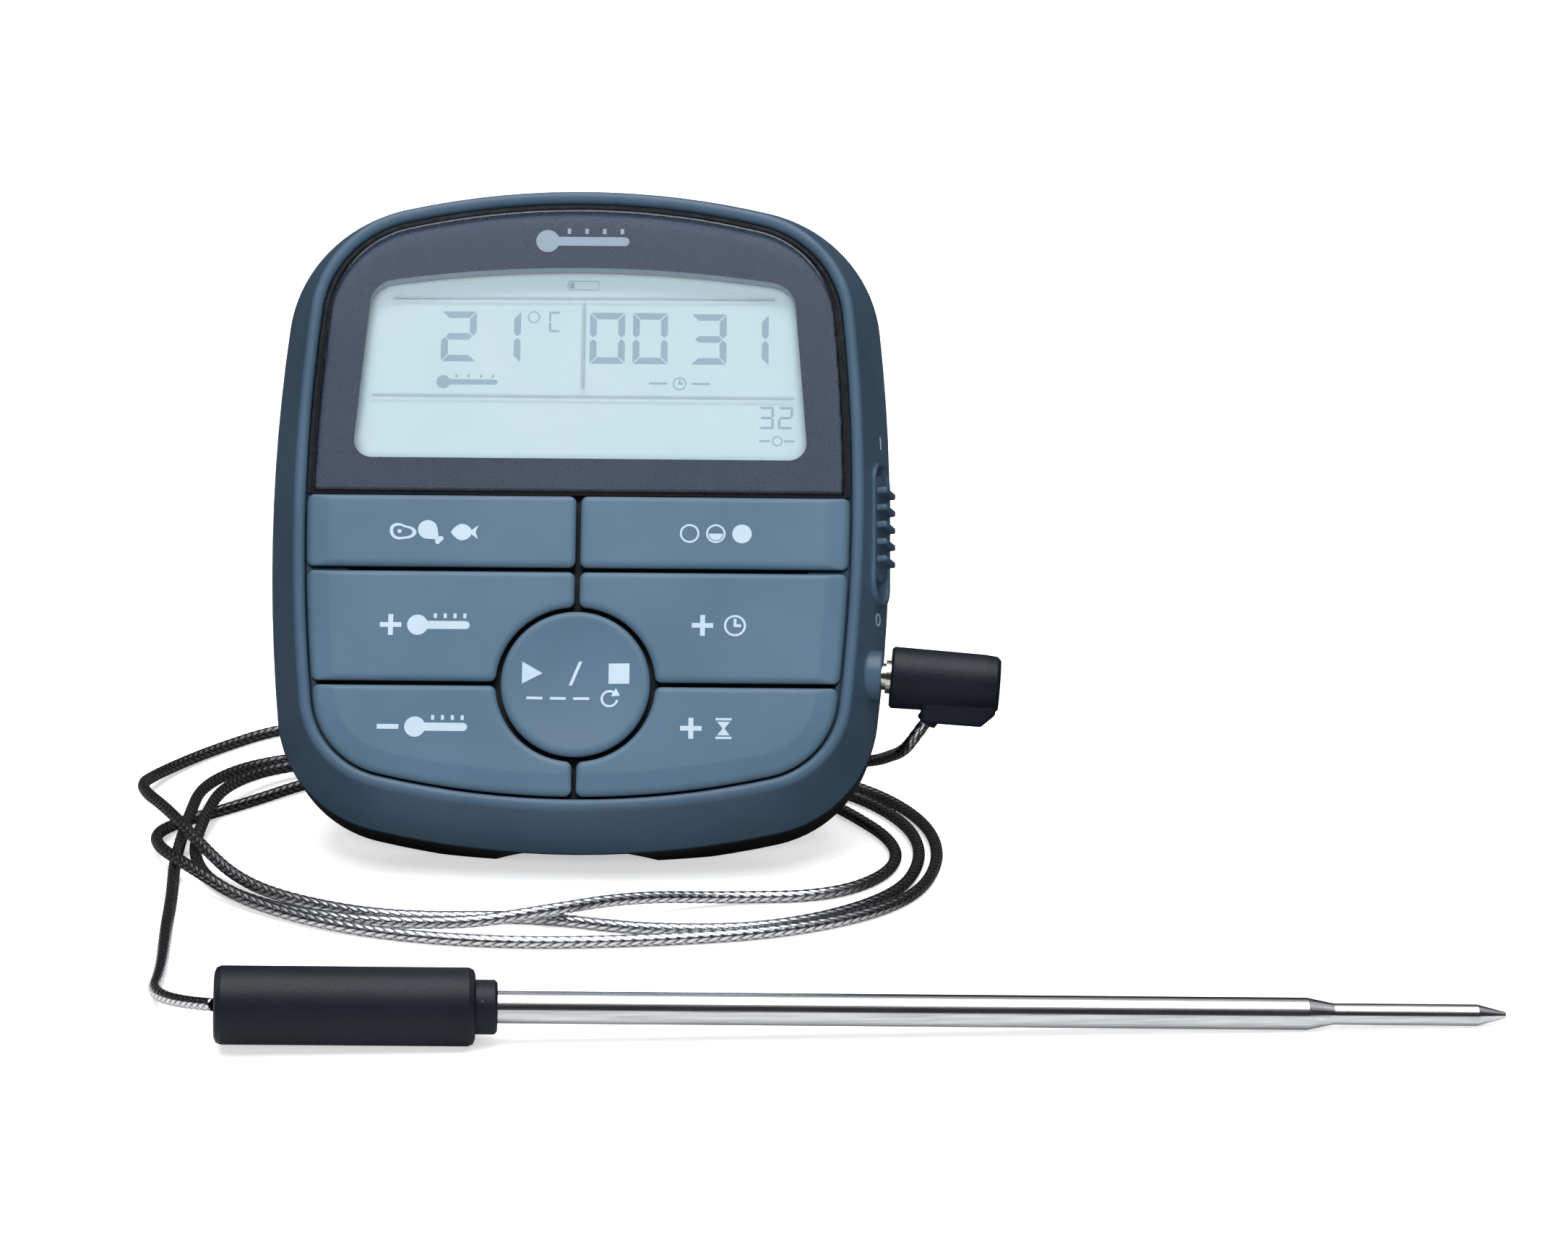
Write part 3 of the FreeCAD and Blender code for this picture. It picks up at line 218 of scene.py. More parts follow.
def moulded(
    name, dark, light, rough, grain, depth, dust=0.0, soft=0.0, painted_shade_depths=None, painted_shade_well=None, **constants
):
    """Moulded plastic or rubber: patches of two close shades, a fine sparked grain and some dust.

    Its edges look rounded by the radius soft. Between two depths behind the unit's face, in
    millimetres, its colour is painted over with dark shade, as shade falls in the gaps between
    parts, and only inside the oval if one is given.
    """
    paint = Paint(name, **constants)
    patches = paint.noise(PATCH_SCALE, 3)
    colour = paint.ramp(patches, (0.35, dark), (0.65, light))
    fine = paint.noise(grain, 2)
    if dust:
        lighter = tuple(min(1, c * 2.6 + 0.05) for c in light[:3]) + (1,)
        colour = paint.blend(paint.specks(DUST_SCALE, dust, DUST_SIZE), colour, lighter)
    # Painted shade: deeper behind the face, the colour goes over to GAP_SHADOW, as shade falls in
    # the gaps between the keys.
    if painted_shade_depths:
        behind = paint.along(unit_point(0, 0, 0), unit_way(0, 1, 0))
        shadow = paint.span(behind, 0.0, 1.0, painted_shade_depths[0] * MM, painted_shade_depths[1] * MM)
        if painted_shade_well:
            shadow = paint.calculate("MULTIPLY", shadow, paint.inside_oval(*painted_shade_well))
        colour = paint.blend(shadow, colour, GAP_SHADOW)
    paint.set("Base Color", colour)
    paint.set("Roughness", paint.span(fine, rough - 0.05, rough + 0.05))
    paint.bump(fine, depth, soft=soft)
    return paint.material


def metal(name, dark, light, rough, along=(1, 1, 1), turn=(0, 0, 0), scale=900, depth=2e-6):
    """Metal with fine drawn or brushed lines where along is small, and patches elsewhere."""
    paint = Paint(name, metallic=1.0)
    lines = paint.noise(scale, 4, paint.stretched(along, turn))
    paint.set("Base Color", paint.ramp(lines, (0.3, dark), (0.7, light)))
    paint.set("Roughness", paint.span(lines, rough * 1.35, rough * 0.75))
    paint.bump(lines, depth)
    return paint.material


def glazing(name, tint, smear):
    """A clear sheet: it passes light, and mirrors more of it at a glancing angle."""
    paint = Paint(name)
    surface = paint.tree.nodes["Material Output"].inputs[0]
    passes = paint.add("ShaderNodeBsdfTransparent", {"Color": tint})
    rough = paint.span(paint.noise(smear, 3), 0.02, 0.05)
    mirrors = paint.add("ShaderNodeBsdfGlossy", {"Roughness": rough})
    share = paint.add("ShaderNodeFresnel", {"IOR": 1.49})
    inputs = {0: share.outputs[0], 1: passes.outputs[0], 2: mirrors.outputs[0]}
    paint.tree.links.new(paint.add("ShaderNodeMixShader", inputs).outputs[0], surface)
    paint.tree.nodes.remove(paint.shader)
    return paint.material


# ---------------------------------------------------------------- braided lead

LEAD_START = (12.755, 24.453, 23.520)
LEAD_END = (-93.7, -73.4, 6.742)
LEAD_ROUTE = [
    (10.95, 24.85, 20.8),
    (9.6, 26.4, 18.4),
    (8.4, 29.4, 16.6),
    (7.5, 34.8, 14.7),
    (5.1, 43.0, 11.4),
    (-0.4, 55.0, 7.6),
    (-11.4, 69.5, 4.6),
    (-28.9, 86.5, 3.4),
    (-52.9, 100.0, 1.2),
    (-79.9, 105.5, 1.05),
    (-100.9, 99.5, 1.05),
    (-112.9, 82.5, 1.05),
    (-120.4, 65.0, 1.6),
    (-121.4, 49.5, 3.9),
    (-113.9, 33.0, 4.6),
    (-106.9, 16.5, 3.9),
    (-98.9, 3.5, 1.5),
    (-87.9, -6.5, 1.05),
    (-71.9, -14.0, 1.05),
    (-50.9, -12.5, 1.05),
    (-31.9, -19.5, 1.05),
    (-10.9, -17.5, 1.05),
    (7.1, -1.5, 1.05),
    (12.6, 20.0, 1.05),
    (10.6, 41.0, 1.05),
    (0.1, 60.5, 1.05),
    (-20.9, 77.0, 1.05),
    (-47.9, 82.0, 1.05),
    (-75.9, 79.5, 1.05),
    (-97.9, 70.0, 2.2),
    (-106.9, 53.0, 3.4),
    (-108.3, 35.0, 3.0),
    (-108.4, 17.0, 1.05),
    (-100.9, -1.5, 1.05),
    (-84.9, -14.5, 1.05),
    (-61.9, -20.0, 1.9),
    (-48.9, -17.0, 3.3),
    (-34.9, -9.0, 3.3),
    (-19.9, -2.0, 1.05),
    (-2.9, -0.5, 1.05),
    (7.1, 12.0, 1.05),
    (8.6, 28.5, 1.05),
    (0.1, 48.0, 1.05),
    (-9.9, 64.0, 1.05),
    (-26.9, 75.5, 1.05),
    (-49.9, 77.8, 1.05),
    (-73.9, 75.5, 1.05),
    (-91.9, 65.0, 1.05),
    (-103.4, 48.5, 1.05),
    (-115.4, 35.0, 1.05),
    (-114.9, 19.5, 2.8),
    (-106.9, 4.5, 3.5),
    (-95.9, -9.0, 1.6),
    (-77.9, -21.0, 1.05),
    (-54.9, -26.5, 1.05),
    (-30.9, -24.5, 1.05),
    (-7.9, -18.8, 1.05),
    (9.6, -4.0, 1.05),
    (15.6, 19.5, 1.05),
    (13.6, 43.0, 1.05),
    (2.6, 64.0, 1.05),
    (-18.9, 80.5, 1.05),
    (-47.9, 86.0, 1.05),
    (-76.9, 83.5, 1.05),
    (-100.9, 73.5, 2.2),
    (-110.7, 54.0, 3.4),
    (-110.9, 34.5, 3.0),
    (-110.9, 16.0, 1.05),
    (-108.9, -3.0, 1.05),
    (-107.5, -22.0, 1.05),
    (-105.7, -41.0, 1.05),
    (-105.1, -59.5, 2.6),
]
LEAD_RADIUS = 1.0
LEAD_SIDES = 24
LEAD_STEPS = 44
STRANDS = 6
STRAND_STEP = 1.75
STRAND_WIRES = 5
STRAND_LOW = 0.09
STRAND_RELIEF = 0.11


def spline_points(points):
    """The points of a smooth NURBS line through the route, read back from its curve."""
    data = bpy.data.curves.new("lead_line", "CURVE")
    data.dimensions = "3D"
    spline = data.splines.new("NURBS")
    spline.points.add(len(points) - 1)
    for point, place in zip(spline.points, points):
        point.co = (*place, 1)
    spline.order_u = 3
    spline.use_endpoint_u = True
    spline.resolution_u = LEAD_STEPS
    line = bpy.data.objects.new("lead_line", data)
    scene.collection.objects.link(line)
    bpy.context.view_layer.update()
    mesh = bpy.data.meshes.new_from_object(line)
    places = [v.co.copy() for v in mesh.vertices]
    bpy.data.objects.remove(line)
    bpy.data.meshes.remove(mesh)
    return places


def plait_height(around, along):
    """How high, from 0 to 1, the plaited strands stand at a place. Two over, two under."""
    first = around * STRANDS + along / STRAND_STEP
    second = around * STRANDS - along / STRAND_STEP
    first_strand = math.floor(first)
    second_strand = math.floor(second)
    if (first_strand + second_strand) % 4 < 2:
        across = first - first_strand
        run = (first_strand + second) % 4
    else:
        across = second - second_strand
        run = (second_strand + first) % 4 - 2
    return math.sqrt(math.sin(math.pi * across)) * (0.35 + 0.65 * math.sin(math.pi * run / 2))


def plaited_tube(name, line):
    """A tube round the line with its strands in relief.

    Its UVs are the turn round it and the millimetres along it.
    """
    verts, turns, lengths = [], [], []
    tangent = (line[1] - line[0]).normalized()
    side = tangent.cross(Vector((0, 0, 1))).normalized()
    along = 0.0
    for i, centre in enumerate(line):
        ahead = line[min(i + 1, len(line) - 1)]
        behind = line[max(i - 1, 0)]
        next_tangent = (ahead - behind).normalized()
        side = tangent.rotation_difference(next_tangent) @ side
        tangent = next_tangent
        side = (side - tangent * side.dot(tangent)).normalized()
        other = tangent.cross(side)
        if i:
            along += (centre - line[i - 1]).length / MM
        lengths.append(along)
        for k in range(LEAD_SIDES):
            turn = k / LEAD_SIDES
            height = STRAND_RELIEF * plait_height(turn, along) - STRAND_LOW
            radius = (LEAD_RADIUS + height) * MM
            angle = 2 * math.pi * turn
            verts.append(centre + (side * math.cos(angle) + other * math.sin(angle)) * radius)
    faces, corners = [], []
    for i in range(len(line) - 1):
        for k in range(LEAD_SIDES):
            n = (k + 1) % LEAD_SIDES
            a, b = i * LEAD_SIDES, (i + 1) * LEAD_SIDES
            faces.append((a + k, a + n, b + n, b + k))
            corners += [
                (k / LEAD_SIDES, lengths[i]),
                ((k + 1) / LEAD_SIDES, lengths[i]),
                ((k + 1) / LEAD_SIDES, lengths[i + 1]),
                (k / LEAD_SIDES, lengths[i + 1]),
            ]
    last = (len(line) - 1) * LEAD_SIDES
    for cap in (range(LEAD_SIDES - 1, -1, -1), range(last, last + LEAD_SIDES)):
        faces.append(tuple(cap))
        corners += [(0.0, 0.0)] * LEAD_SIDES
    mesh = bpy.data.meshes.new(name)
    mesh.from_pydata(verts, [], faces)
    layer = mesh.uv_layers.new(name="UVMap")
    layer.data.foreach_set("uv", [number for corner in corners for number in corner])
    mesh.shade_smooth()
    piece = bpy.data.objects.new(name, mesh)
    scene.collection.objects.link(piece)
    return piece


def braid_paint():
    """Tinned braid: the same plait as the relief, its single wires drawn in colour and height."""
    paint = Paint("braided_steel_wire", coordinates="UV", metallic=1.0)
    place = paint.add("ShaderNodeSeparateXYZ", {0: paint.where})
    around = paint.calculate("MULTIPLY", place.outputs[0], STRANDS)
    along = paint.calculate("DIVIDE", place.outputs[1], STRAND_STEP)
    first = paint.calculate("ADD", around, along)
    second = paint.calculate("SUBTRACT", around, along)
    first_strand = paint.calculate("FLOOR", first)
    second_strand = paint.calculate("FLOOR", second)
    sum_of_both = paint.calculate("ADD", first_strand, second_strand)
    turn = paint.calculate("FLOORED_MODULO", sum_of_both, 4.0)
    first_over = paint.calculate("LESS_THAN", turn, 2.0)
    across_first = paint.calculate("FRACT", first)
    across_second = paint.calculate("FRACT", second)
    difference = paint.calculate("SUBTRACT", across_first, across_second)
    across = paint.calculate("MULTIPLY_ADD", difference, first_over, across_second)
    hump = paint.calculate("SINE", paint.calculate("MULTIPLY", across, math.pi))
    wires = paint.calculate("SINE", paint.calculate("MULTIPLY", across, 2 * math.pi * STRAND_WIRES))
    relief = paint.calculate("MULTIPLY_ADD", wires, 0.16, paint.calculate("POWER", hump, 0.45))
    wear = paint.noise(1.4, 2)
    # Painted shade and highlight: the colour runs from near black in the crevices between strands
    # and wires to near white on their crowns.
    shade_and_highlight = paint.calculate("MULTIPLY_ADD", wear, 0.25, paint.calculate("MULTIPLY", relief, 0.85))
    stops = ((0.25, shade(14, 14, 16)), (0.62, shade(124, 126, 130)), (0.95, shade(236, 237, 239)))
    paint.set("Base Color", paint.ramp(shade_and_highlight, *stops))
    paint.set("Roughness", paint.span(wear, 0.12, 0.19))
    paint.bump(relief, 0.00005, 0.5)
    return paint.material


def lead_places():
    return [Vector(p) * MM for p in (LEAD_START, *LEAD_ROUTE, LEAD_END)]


lead_line = spline_points(lead_places())
lead_piece = plaited_tube("braided_lead", lead_line)
lead_piece.data.materials.append(braid_paint())
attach(lead_piece, "probe_lead")
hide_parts("lead")


# ---------------------------------------------------------------- materials of the CAD pieces
# Moulded ones give a darker and a lighter shade, the roughness, and the grain's scale and depth.
# Metal ones give two shades, the roughness and the way their lines run.

SOFT_EDGE = 0.9 * MM
# Height, half width and half height, in millimetres, of the oval that the housing's painted shade
# of the key gaps keeps within.
KEY_WELL_SHADE_OVAL = (6.5, 43.5, 27)

blue = moulded(
    "blue_housing_paint",
    shade(53, 73, 91),
    shade(58, 79, 98),
    0.36,
    5200,
    5e-6,
    dust=0.012,
    soft=SOFT_EDGE,
    # Painted shade in the gaps between the keys, from 0.6 to 1.6 mm behind the face.
    painted_shade_depths=(0.6, 1.6),
    painted_shade_well=KEY_WELL_SHADE_OVAL,
    specular_ior_level=0.3,
)
blue_keys = moulded(
    "blue_key_plastic",
    shade(64, 87, 105),
    shade(69, 92, 111),
    0.42,
    4200,
    5e-6,
    dust=0.02,
    soft=SOFT_EDGE,
    # Painted shade down the key sides, from the face to 0.5 mm behind it.
    painted_shade_depths=(0.0, 0.5),
    specular_ior_level=0.3,
)
black_shell = moulded(
    "black_shell_plastic", shade(12, 14, 18), shade(17, 19, 24), 0.45, 3600, 9e-6, dust=0.01
)
rubber = moulded(
    "navy_black_rubber",
    shade(10, 13, 22),
    shade(15, 19, 29),
    0.5,
    3000,
    1.4e-5,
    dust=0.06,
    specular_ior_level=0.24,
)
bezel_black = moulded("gloss_black_plastic", shade(10, 12, 17), shade(15, 17, 23), 0.12, 900, 1e-6)
print_navy = moulded("navy_window_print", shade(43, 56, 76), shade(47, 60, 80), 0.30, 2600, 1e-6)
frame_white = moulded(
    "pale_frame_plastic", shade(214, 232, 246), shade(222, 238, 250), 0.5, 2600, 3e-6
)
reflector = moulded(
    "mint_reflector_foil", shade(236, 250, 250), shade(242, 252, 252), 0.55, 6000, 1e-6
)
silicone = moulded("grey_silicone", shade(120, 124, 128), shade(132, 136, 140), 0.6, 2200, 6e-6)
carbon = moulded("carbon_rubber", shade(24, 24, 26), shade(32, 32, 34), 0.7, 2600, 6e-6)
laminate = moulded("green_laminate", shade(24, 84, 52), shade(34, 98, 62), 0.35, 1800, 3e-6)
epoxy = moulded("black_epoxy", shade(16, 16, 18), shade(24, 24, 26), 0.3, 900, 1e-5)
switch_black = moulded(
    "switch_black_plastic", shade(28, 28, 30), shade(36, 36, 38), 0.45, 2600, 4e-6
)
insulator = moulded(
    "plug_insulator_plastic", shade(20, 20, 22), shade(28, 28, 30), 0.35, 2000, 2e-6
)
jacket = moulded("cell_jacket_print", shade(40, 66, 110), shade(48, 76, 122), 0.25, 1600, 1e-6)
wires = moulded("wire_insulation", shade(186, 60, 48), shade(200, 72, 58), 0.45, 2600, 2e-6)
ferrite = moulded("ferrite_magnet", shade(58, 58, 60), shade(72, 72, 74), 0.5, 1500, 8e-6)
amber = moulded("sensor_epoxy", shade(120, 74, 34), shade(140, 90, 44), 0.3, 1200, 4e-6)

tin = metal("tin_can", shade(176, 178, 180), shade(214, 216, 218), 0.28)
nickel = metal("nickel_plate", shade(190, 186, 176), shade(232, 229, 220), 0.16, (1, 0.05, 1))
screw_steel = metal("zinc_screw", shade(150, 152, 154), shade(196, 198, 200), 0.3, (1, 1, 0.2))
spring_steel = metal("nickel_spring_wire", shade(176, 174, 168), shade(218, 216, 210), 0.22)
probe_steel = metal(
    "drawn_probe_steel",
    shade(188, 190, 193),
    shade(226, 228, 230),
    0.17,
    (0.035, 1, 1),
    (0, 0, PROBE_TURN),
    scale=2600,
    depth=1.5e-6,
)
window_clear = glazing("clear_window", (0.97, 0.98, 1.0, 1), 60)
glass_clear = glazing("liquid_crystal_glass", (0.97, 0.995, 0.995, 1), 90)

FINISHES = {
    "front_housing": blue,
    "power_slider": blue,
    "meat_button": blue_keys,
    "taste_button": blue_keys,
    "temp_up_button": blue_keys,
    "hour_button": blue_keys,
    "temp_down_button": blue_keys,
    "minute_button": blue_keys,
    "start_stop_button": blue_keys,
    "back_housing": black_shell,
    "battery_door": black_shell,
    "stand": black_shell,
    "display_window": window_clear,
    "display_mask": print_navy,
    "window_bezel": bezel_black,
    "lcd_panel": glass_clear,
    "lcd_reflector": reflector,
    "lcd_frame": frame_white,
    "zebra_strip": carbon,
    "keypad_membrane": silicone,
    "contact_pills": carbon,
    "circuit_board": laminate,
    "processor_chip": epoxy,
    "quartz_crystal": tin,
    "buzzer": switch_black,
    "board_screws": screw_steel,
    "housing_screws": screw_steel,
    "switch_nub": switch_black,
    "power_switch": tin,
    "batteries": jacket,
    "battery_springs": spring_steel,
    "battery_contacts": nickel,
    "magnets": ferrite,
    "jack_socket": insulator,
    "plug_sleeve": nickel,
    "plug_insulator": insulator,
    "plug_tip": nickel,
    "plug_body": rubber,
    "probe_handle": rubber,
    "crimp_sleeve": nickel,
    "probe_shaft": probe_steel,
    "temperature_sensor": amber,
    "sensor_wires": wires,
}


def dress_nodes():
    for name, finish in FINISHES.items():
        slots = nodes[name].material_slots
        if not slots:
            nodes[name].data.materials.append(finish)
        for place in slots:
            place.material = finish


dress_nodes()


# ---------------------------------------------------------------- flat shapes, in millimetres


def arc(u, v, radius, start, end, steps=20):
    """Points on a circle from one angle in degrees to another."""
    angles = [math.radians(start + (end - start) * i / steps) for i in range(steps + 1)]
    return [(u + radius * math.cos(a), v + radius * math.sin(a)) for a in angles]


def rectangle(left, bottom, right, top):
    return [[(left, bottom), (right, bottom), (right, top), (left, top)]]


def disc(u, v, radius):
    return [arc(u, v, radius, 0, 360, 36)[:-1]]


def band(outer, inner):
    """Quads between two lines of the same number of points."""
    return [[outer[i], outer[i + 1], inner[i + 1], inner[i]] for i in range(len(outer) - 1)]


def ring(u, v, radius, width, start=0, end=360):
    return band(arc(u, v, radius, start, end, 36), arc(u, v, radius - width, start, end, 36))


def plus(u, v, size, width):
    s, w = size / 2, width / 2
    quarter = [(w, w), (w, s), (-w, s)]
    points = []
    for turn in range(4):
        c, n = (1, 0, -1, 0)[turn], (0, 1, 0, -1)[turn]
        points += [(u + x * c - y * n, v + x * n + y * c) for x, y in quarter]
    return [points]


def minus(u, v, size, width):
    return rectangle(u - size / 2, v - width / 2, u + size / 2, v + width / 2)


def thermometer(left, right, v, height):
    """A thermometer lying down, bulb to the left, with marks over its tube."""
    bulb = height / 2
    tube = height * 0.2
    meet = math.degrees(math.asin(tube / bulb))
    outline = arc(left + bulb, v, bulb, meet, 360 - meet, 30)
    outline += arc(right - tube, v, tube, -90, 90, 10)
    shapes = [outline]
    count = 4
    start = left + 2.3 * bulb
    step = (right - tube - start) / (count - 0.5)
    for i in range(count):
        mark = start + step * (i + 0.25)
        shapes += rectangle(mark, v + tube * 1.7, mark + height * 0.15, v + bulb * 1.15)
    return shapes


def clock(u, v, radius):
    width = radius * 0.2
    hand = radius * 0.13
    hands = [
        (u - hand, v - hand),
        (u + radius * 0.55, v - hand),
        (u + radius * 0.55, v + hand),
        (u + hand, v + hand),
        (u + hand, v + radius * 0.65),
        (u - hand, v + radius * 0.65),
    ]
    return ring(u, v, radius, width) + [hands]


def hourglass(u, v, width, height):
    w, h = width / 2, height / 2
    bar = h * 0.22
    glass = [
        (u - w * 0.8, v + h - bar * 1.6),
        (u - w * 0.12, v),
        (u - w * 0.8, v - h + bar * 1.6),
        (u + w * 0.8, v - h + bar * 1.6),
        (u + w * 0.12, v),
        (u + w * 0.8, v + h - bar * 1.6),
    ]
    top = rectangle(u - w, v + h - bar, u + w, v + h)
    bottom = rectangle(u - w, v - h, u + w, v - h + bar)
    return [glass] + top + bottom


def steak(u, v, height):
    outer, inner = [], []
    for i in range(41):
        angle = 2 * math.pi * i / 40
        radius = height / 2 * (1 + 0.16 * math.cos(2 * angle + 0.5) + 0.1 * math.cos(3 * angle))
        outer.append((u + 1.12 * radius * math.cos(angle), v + 0.9 * radius * math.sin(angle)))
        inner.append((u + 0.82 * radius * math.cos(angle), v + 0.62 * radius * math.sin(angle)))
    return band(outer, inner) + disc(u - height * 0.12, v + height * 0.02, height * 0.1)


def drumstick(u, v, height):
    """A leg pointing down to the right, its bone ending in two knobs."""
    h = height
    meat = arc(u - 0.12 * h, v + 0.1 * h, 0.4 * h, 10, 260, 24)
    bone = [(u + 0.2 * h, v - 0.32 * h)]
    bone += arc(u + 0.3 * h, v - 0.42 * h, 0.1 * h, 200, 340, 8)
    bone += arc(u + 0.44 * h, v - 0.28 * h, 0.1 * h, -70, 90, 8)
    bone += [(u + 0.34 * h, v - 0.2 * h)]
    return [meat + bone]


def fish(u, v, length, height):
    half, h = length * 0.36, height / 2
    ways = [i / 14 for i in range(13)]
    back = [(u + half * (2 * way - 1), v + h * math.sin(math.pi * way) ** 0.8) for way in ways]
    belly = [(x, 2 * v - y) for x, y in reversed(back)]
    root = u + half * 0.8
    tail = [(root, v + h * 0.25), (u + length / 2, v + h * 0.85), (u + length * 0.42, v)]
    tail += [(u + length / 2, v - h * 0.85), (root, v - h * 0.25)]
    return [back + tail + belly[:-1]]


def doneness(u, v, radius, gap):
    """Three rounds, from open to full."""
    width = radius * 0.2
    shapes = ring(u - gap, v, radius, width) + ring(u, v, radius, width) + disc(u + gap, v, radius)
    half = arc(u, v, radius * 0.72, 180, 360, 16)
    return shapes + [half]


def play(u, v, height):
    h = height / 2
    return [[(u - 0.8 * h, v - h), (u + h, v), (u - 0.8 * h, v + h)]]


def slash(u, v, height, width):
    h, w, lean = height / 2, width / 2, height * 0.2
    foot = [(u - lean - w, v - h), (u - lean + w, v - h)]
    head = [(u + lean + w, v + h), (u + lean - w, v + h)]
    return [foot + head]


def turn_back(u, v, radius):
    """A round arrow."""
    width = radius * 0.26
    shapes = ring(u, v, radius, width, 60, 350)
    middle = radius - width / 2
    base = arc(u, v, middle, 60, 60, 1)[0]
    way = (math.sin(math.radians(60)), -math.cos(math.radians(60)))
    out = (math.cos(math.radians(60)), math.sin(math.radians(60)))
    size = radius * 0.55
    head = [
        (base[0] + out[0] * size, base[1] + out[1] * size),
        (base[0] + way[0] * size * 1.5, base[1] + way[1] * size * 1.5),
        (base[0] - out[0] * size, base[1] - out[1] * size),
    ]
    return shapes + [head]


def battery(left, bottom, right, top, width):
    """A nearly empty cell."""
    outer = [(left, bottom), (right, bottom), (right, top), (left, top), (left, bottom)]
    inner = [
        (left + width, bottom + width),
        (right - width, bottom + width),
        (right - width, top - width),
        (left + width, top - width),
        (left + width, bottom + width),
    ]
    middle = (bottom + top) / 2
    cap = rectangle(left - 1.6 * width, middle - 0.3, left - 0.4 * width, middle + 0.3)
    start, room = left + 2 * width, 2 * width
    charge = rectangle(start, bottom + room, start + 0.6, top - room)
    return band(outer, inner) + cap + charge


SEGMENTS = {0: "abcdef", 1: "bc", 2: "abged", 3: "abgcd", "C": "afed"}


def seven_segments(figure, left, bottom, right, top, width):
    """A figure of mitred bars, lettered a to g clockwise from the top with g in the middle."""
    gap = width * 0.12
    w = width
    middle = (bottom + top) / 2
    half = w / 2
    bars = {
        "a": [
            (left + gap, top),
            (left + gap + w, top - w),
            (right - gap - w, top - w),
            (right - gap, top),
        ],
        "d": [
            (left + gap, bottom),
            (right - gap, bottom),
            (right - gap - w, bottom + w),
            (left + gap + w, bottom + w),
        ],
        "g": [
            (left + gap + half, middle),
            (left + gap + w, middle - half),
            (right - gap - w, middle - half),
            (right - gap - half, middle),
            (right - gap - w, middle + half),
            (left + gap + w, middle + half),
        ],
        "b": [
            (right, top - gap),
            (right - w, top - gap - w),
            (right - w, middle + gap + half),
            (right - half, middle + gap),
            (right, middle + gap + half),
        ],
        "c": [
            (right, bottom + gap),
            (right, middle - gap - half),
            (right - half, middle - gap),
            (right - w, middle - gap - half),
            (right - w, bottom + gap + w),
        ],
    }
    mirror = left + right
    bars["f"] = [(mirror - x, y) for x, y in bars["b"]]
    bars["e"] = [(mirror - x, y) for x, y in bars["c"]]
    return [bars[letter] for letter in SEGMENTS[figure]]


# ---------------------------------------------------------------- plates


def signed_area(shape):
    return sum(
        shape[i - 1][0] * shape[i][1] - shape[i][0] * shape[i - 1][1] for i in range(len(shape))
    )


def joined(shapes):
    """The flat shapes as shared points, anticlockwise faces, and the edges of only one face."""
    index, faces = {}, []
    for shape in shapes:
        if signed_area(shape) < 0:
            shape = shape[::-1]
        corners = []
        for u, v in shape:
            corner = index.setdefault((round(u, 4), round(v, 4)), len(index))
            if corner not in corners:
                corners.append(corner)
        faces.append(corners)
    sides = {(face[i - 1], face[i]) for face in faces for i in range(len(face))}
    rim = sorted((a, b) for a, b in sides if (b, a) not in sides)
    return list(index), faces, rim


def plate(name, shapes, front, back, body, paint, place=unit_point):
    """A thin print of flat shapes, from depth front to depth back."""
    flat, faces, rim = joined(shapes)
    count = len(flat)
    verts = [place(u, front, v) for u, v in flat] + [place(u, back, v) for u, v in flat]
    solid = list(faces)
    solid += [[corner + count for corner in reversed(face)] for face in faces]
    solid += [[a, a + count, b + count, b] for a, b in rim]
    mesh = bpy.data.meshes.new(name)
    mesh.from_pydata(verts, [], solid)
    mesh.materials.append(paint)
    piece = bpy.data.objects.new(name, mesh)
    scene.collection.objects.link(piece)
    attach(piece, body)
    return piece


legend = moulded("pale_legend_ink", shade(152, 170, 184), shade(160, 178, 192), 0.5, 5200, 2e-6)
KEY_FACE = -0.5
INK = 0.03
INK_ROOT = 0.01
RAY_START = 5
RIGHT_OF_UNIT = 80


def key_print(name, shapes, body):
    """A print on a flat key, standing INK proud of its face and rooted INK_ROOT deep in it."""
    plate(name, shapes, KEY_FACE - INK, KEY_FACE + INK_ROOT, body, legend)


def surface_of(node):
    """A ray target of a CAD piece at rest, in the row frame."""
    mesh = nodes[node].data
    polygons = [tuple(p.vertices) for p in mesh.polygons]
    return BVHTree.FromPolygons([v.co for v in mesh.vertices], polygons)


def add_round_print():
    """The symbols in the round button's hollow face."""
    target = surface_of("start_stop_button")
    inward = unit_way(0, 1, 0)

    def in_hollow(u, lift, v):
        hit = target.ray_cast(unit_point(u, -RAY_START, v), inward)
        return hit[0] - inward * lift * MM

    shapes = play(-7.2, 1.7, 3.7) + slash(0.0, 1.7, 4.0, 0.55) + rectangle(5.4, 0.0, 8.8, 3.4)
    for u in (-6.6, -2.8, 1.0):
        shapes += minus(u, -2.5, 2.6, 0.45)
    shapes += turn_back(5.6, -2.5, 1.45)
    body, slot = "start_stop_button", "blue_key_plastic"
    lift = INK + INK_ROOT
    plate("start_stop_symbols", shapes, lift, -INK_ROOT, body, legend, place=in_hollow)


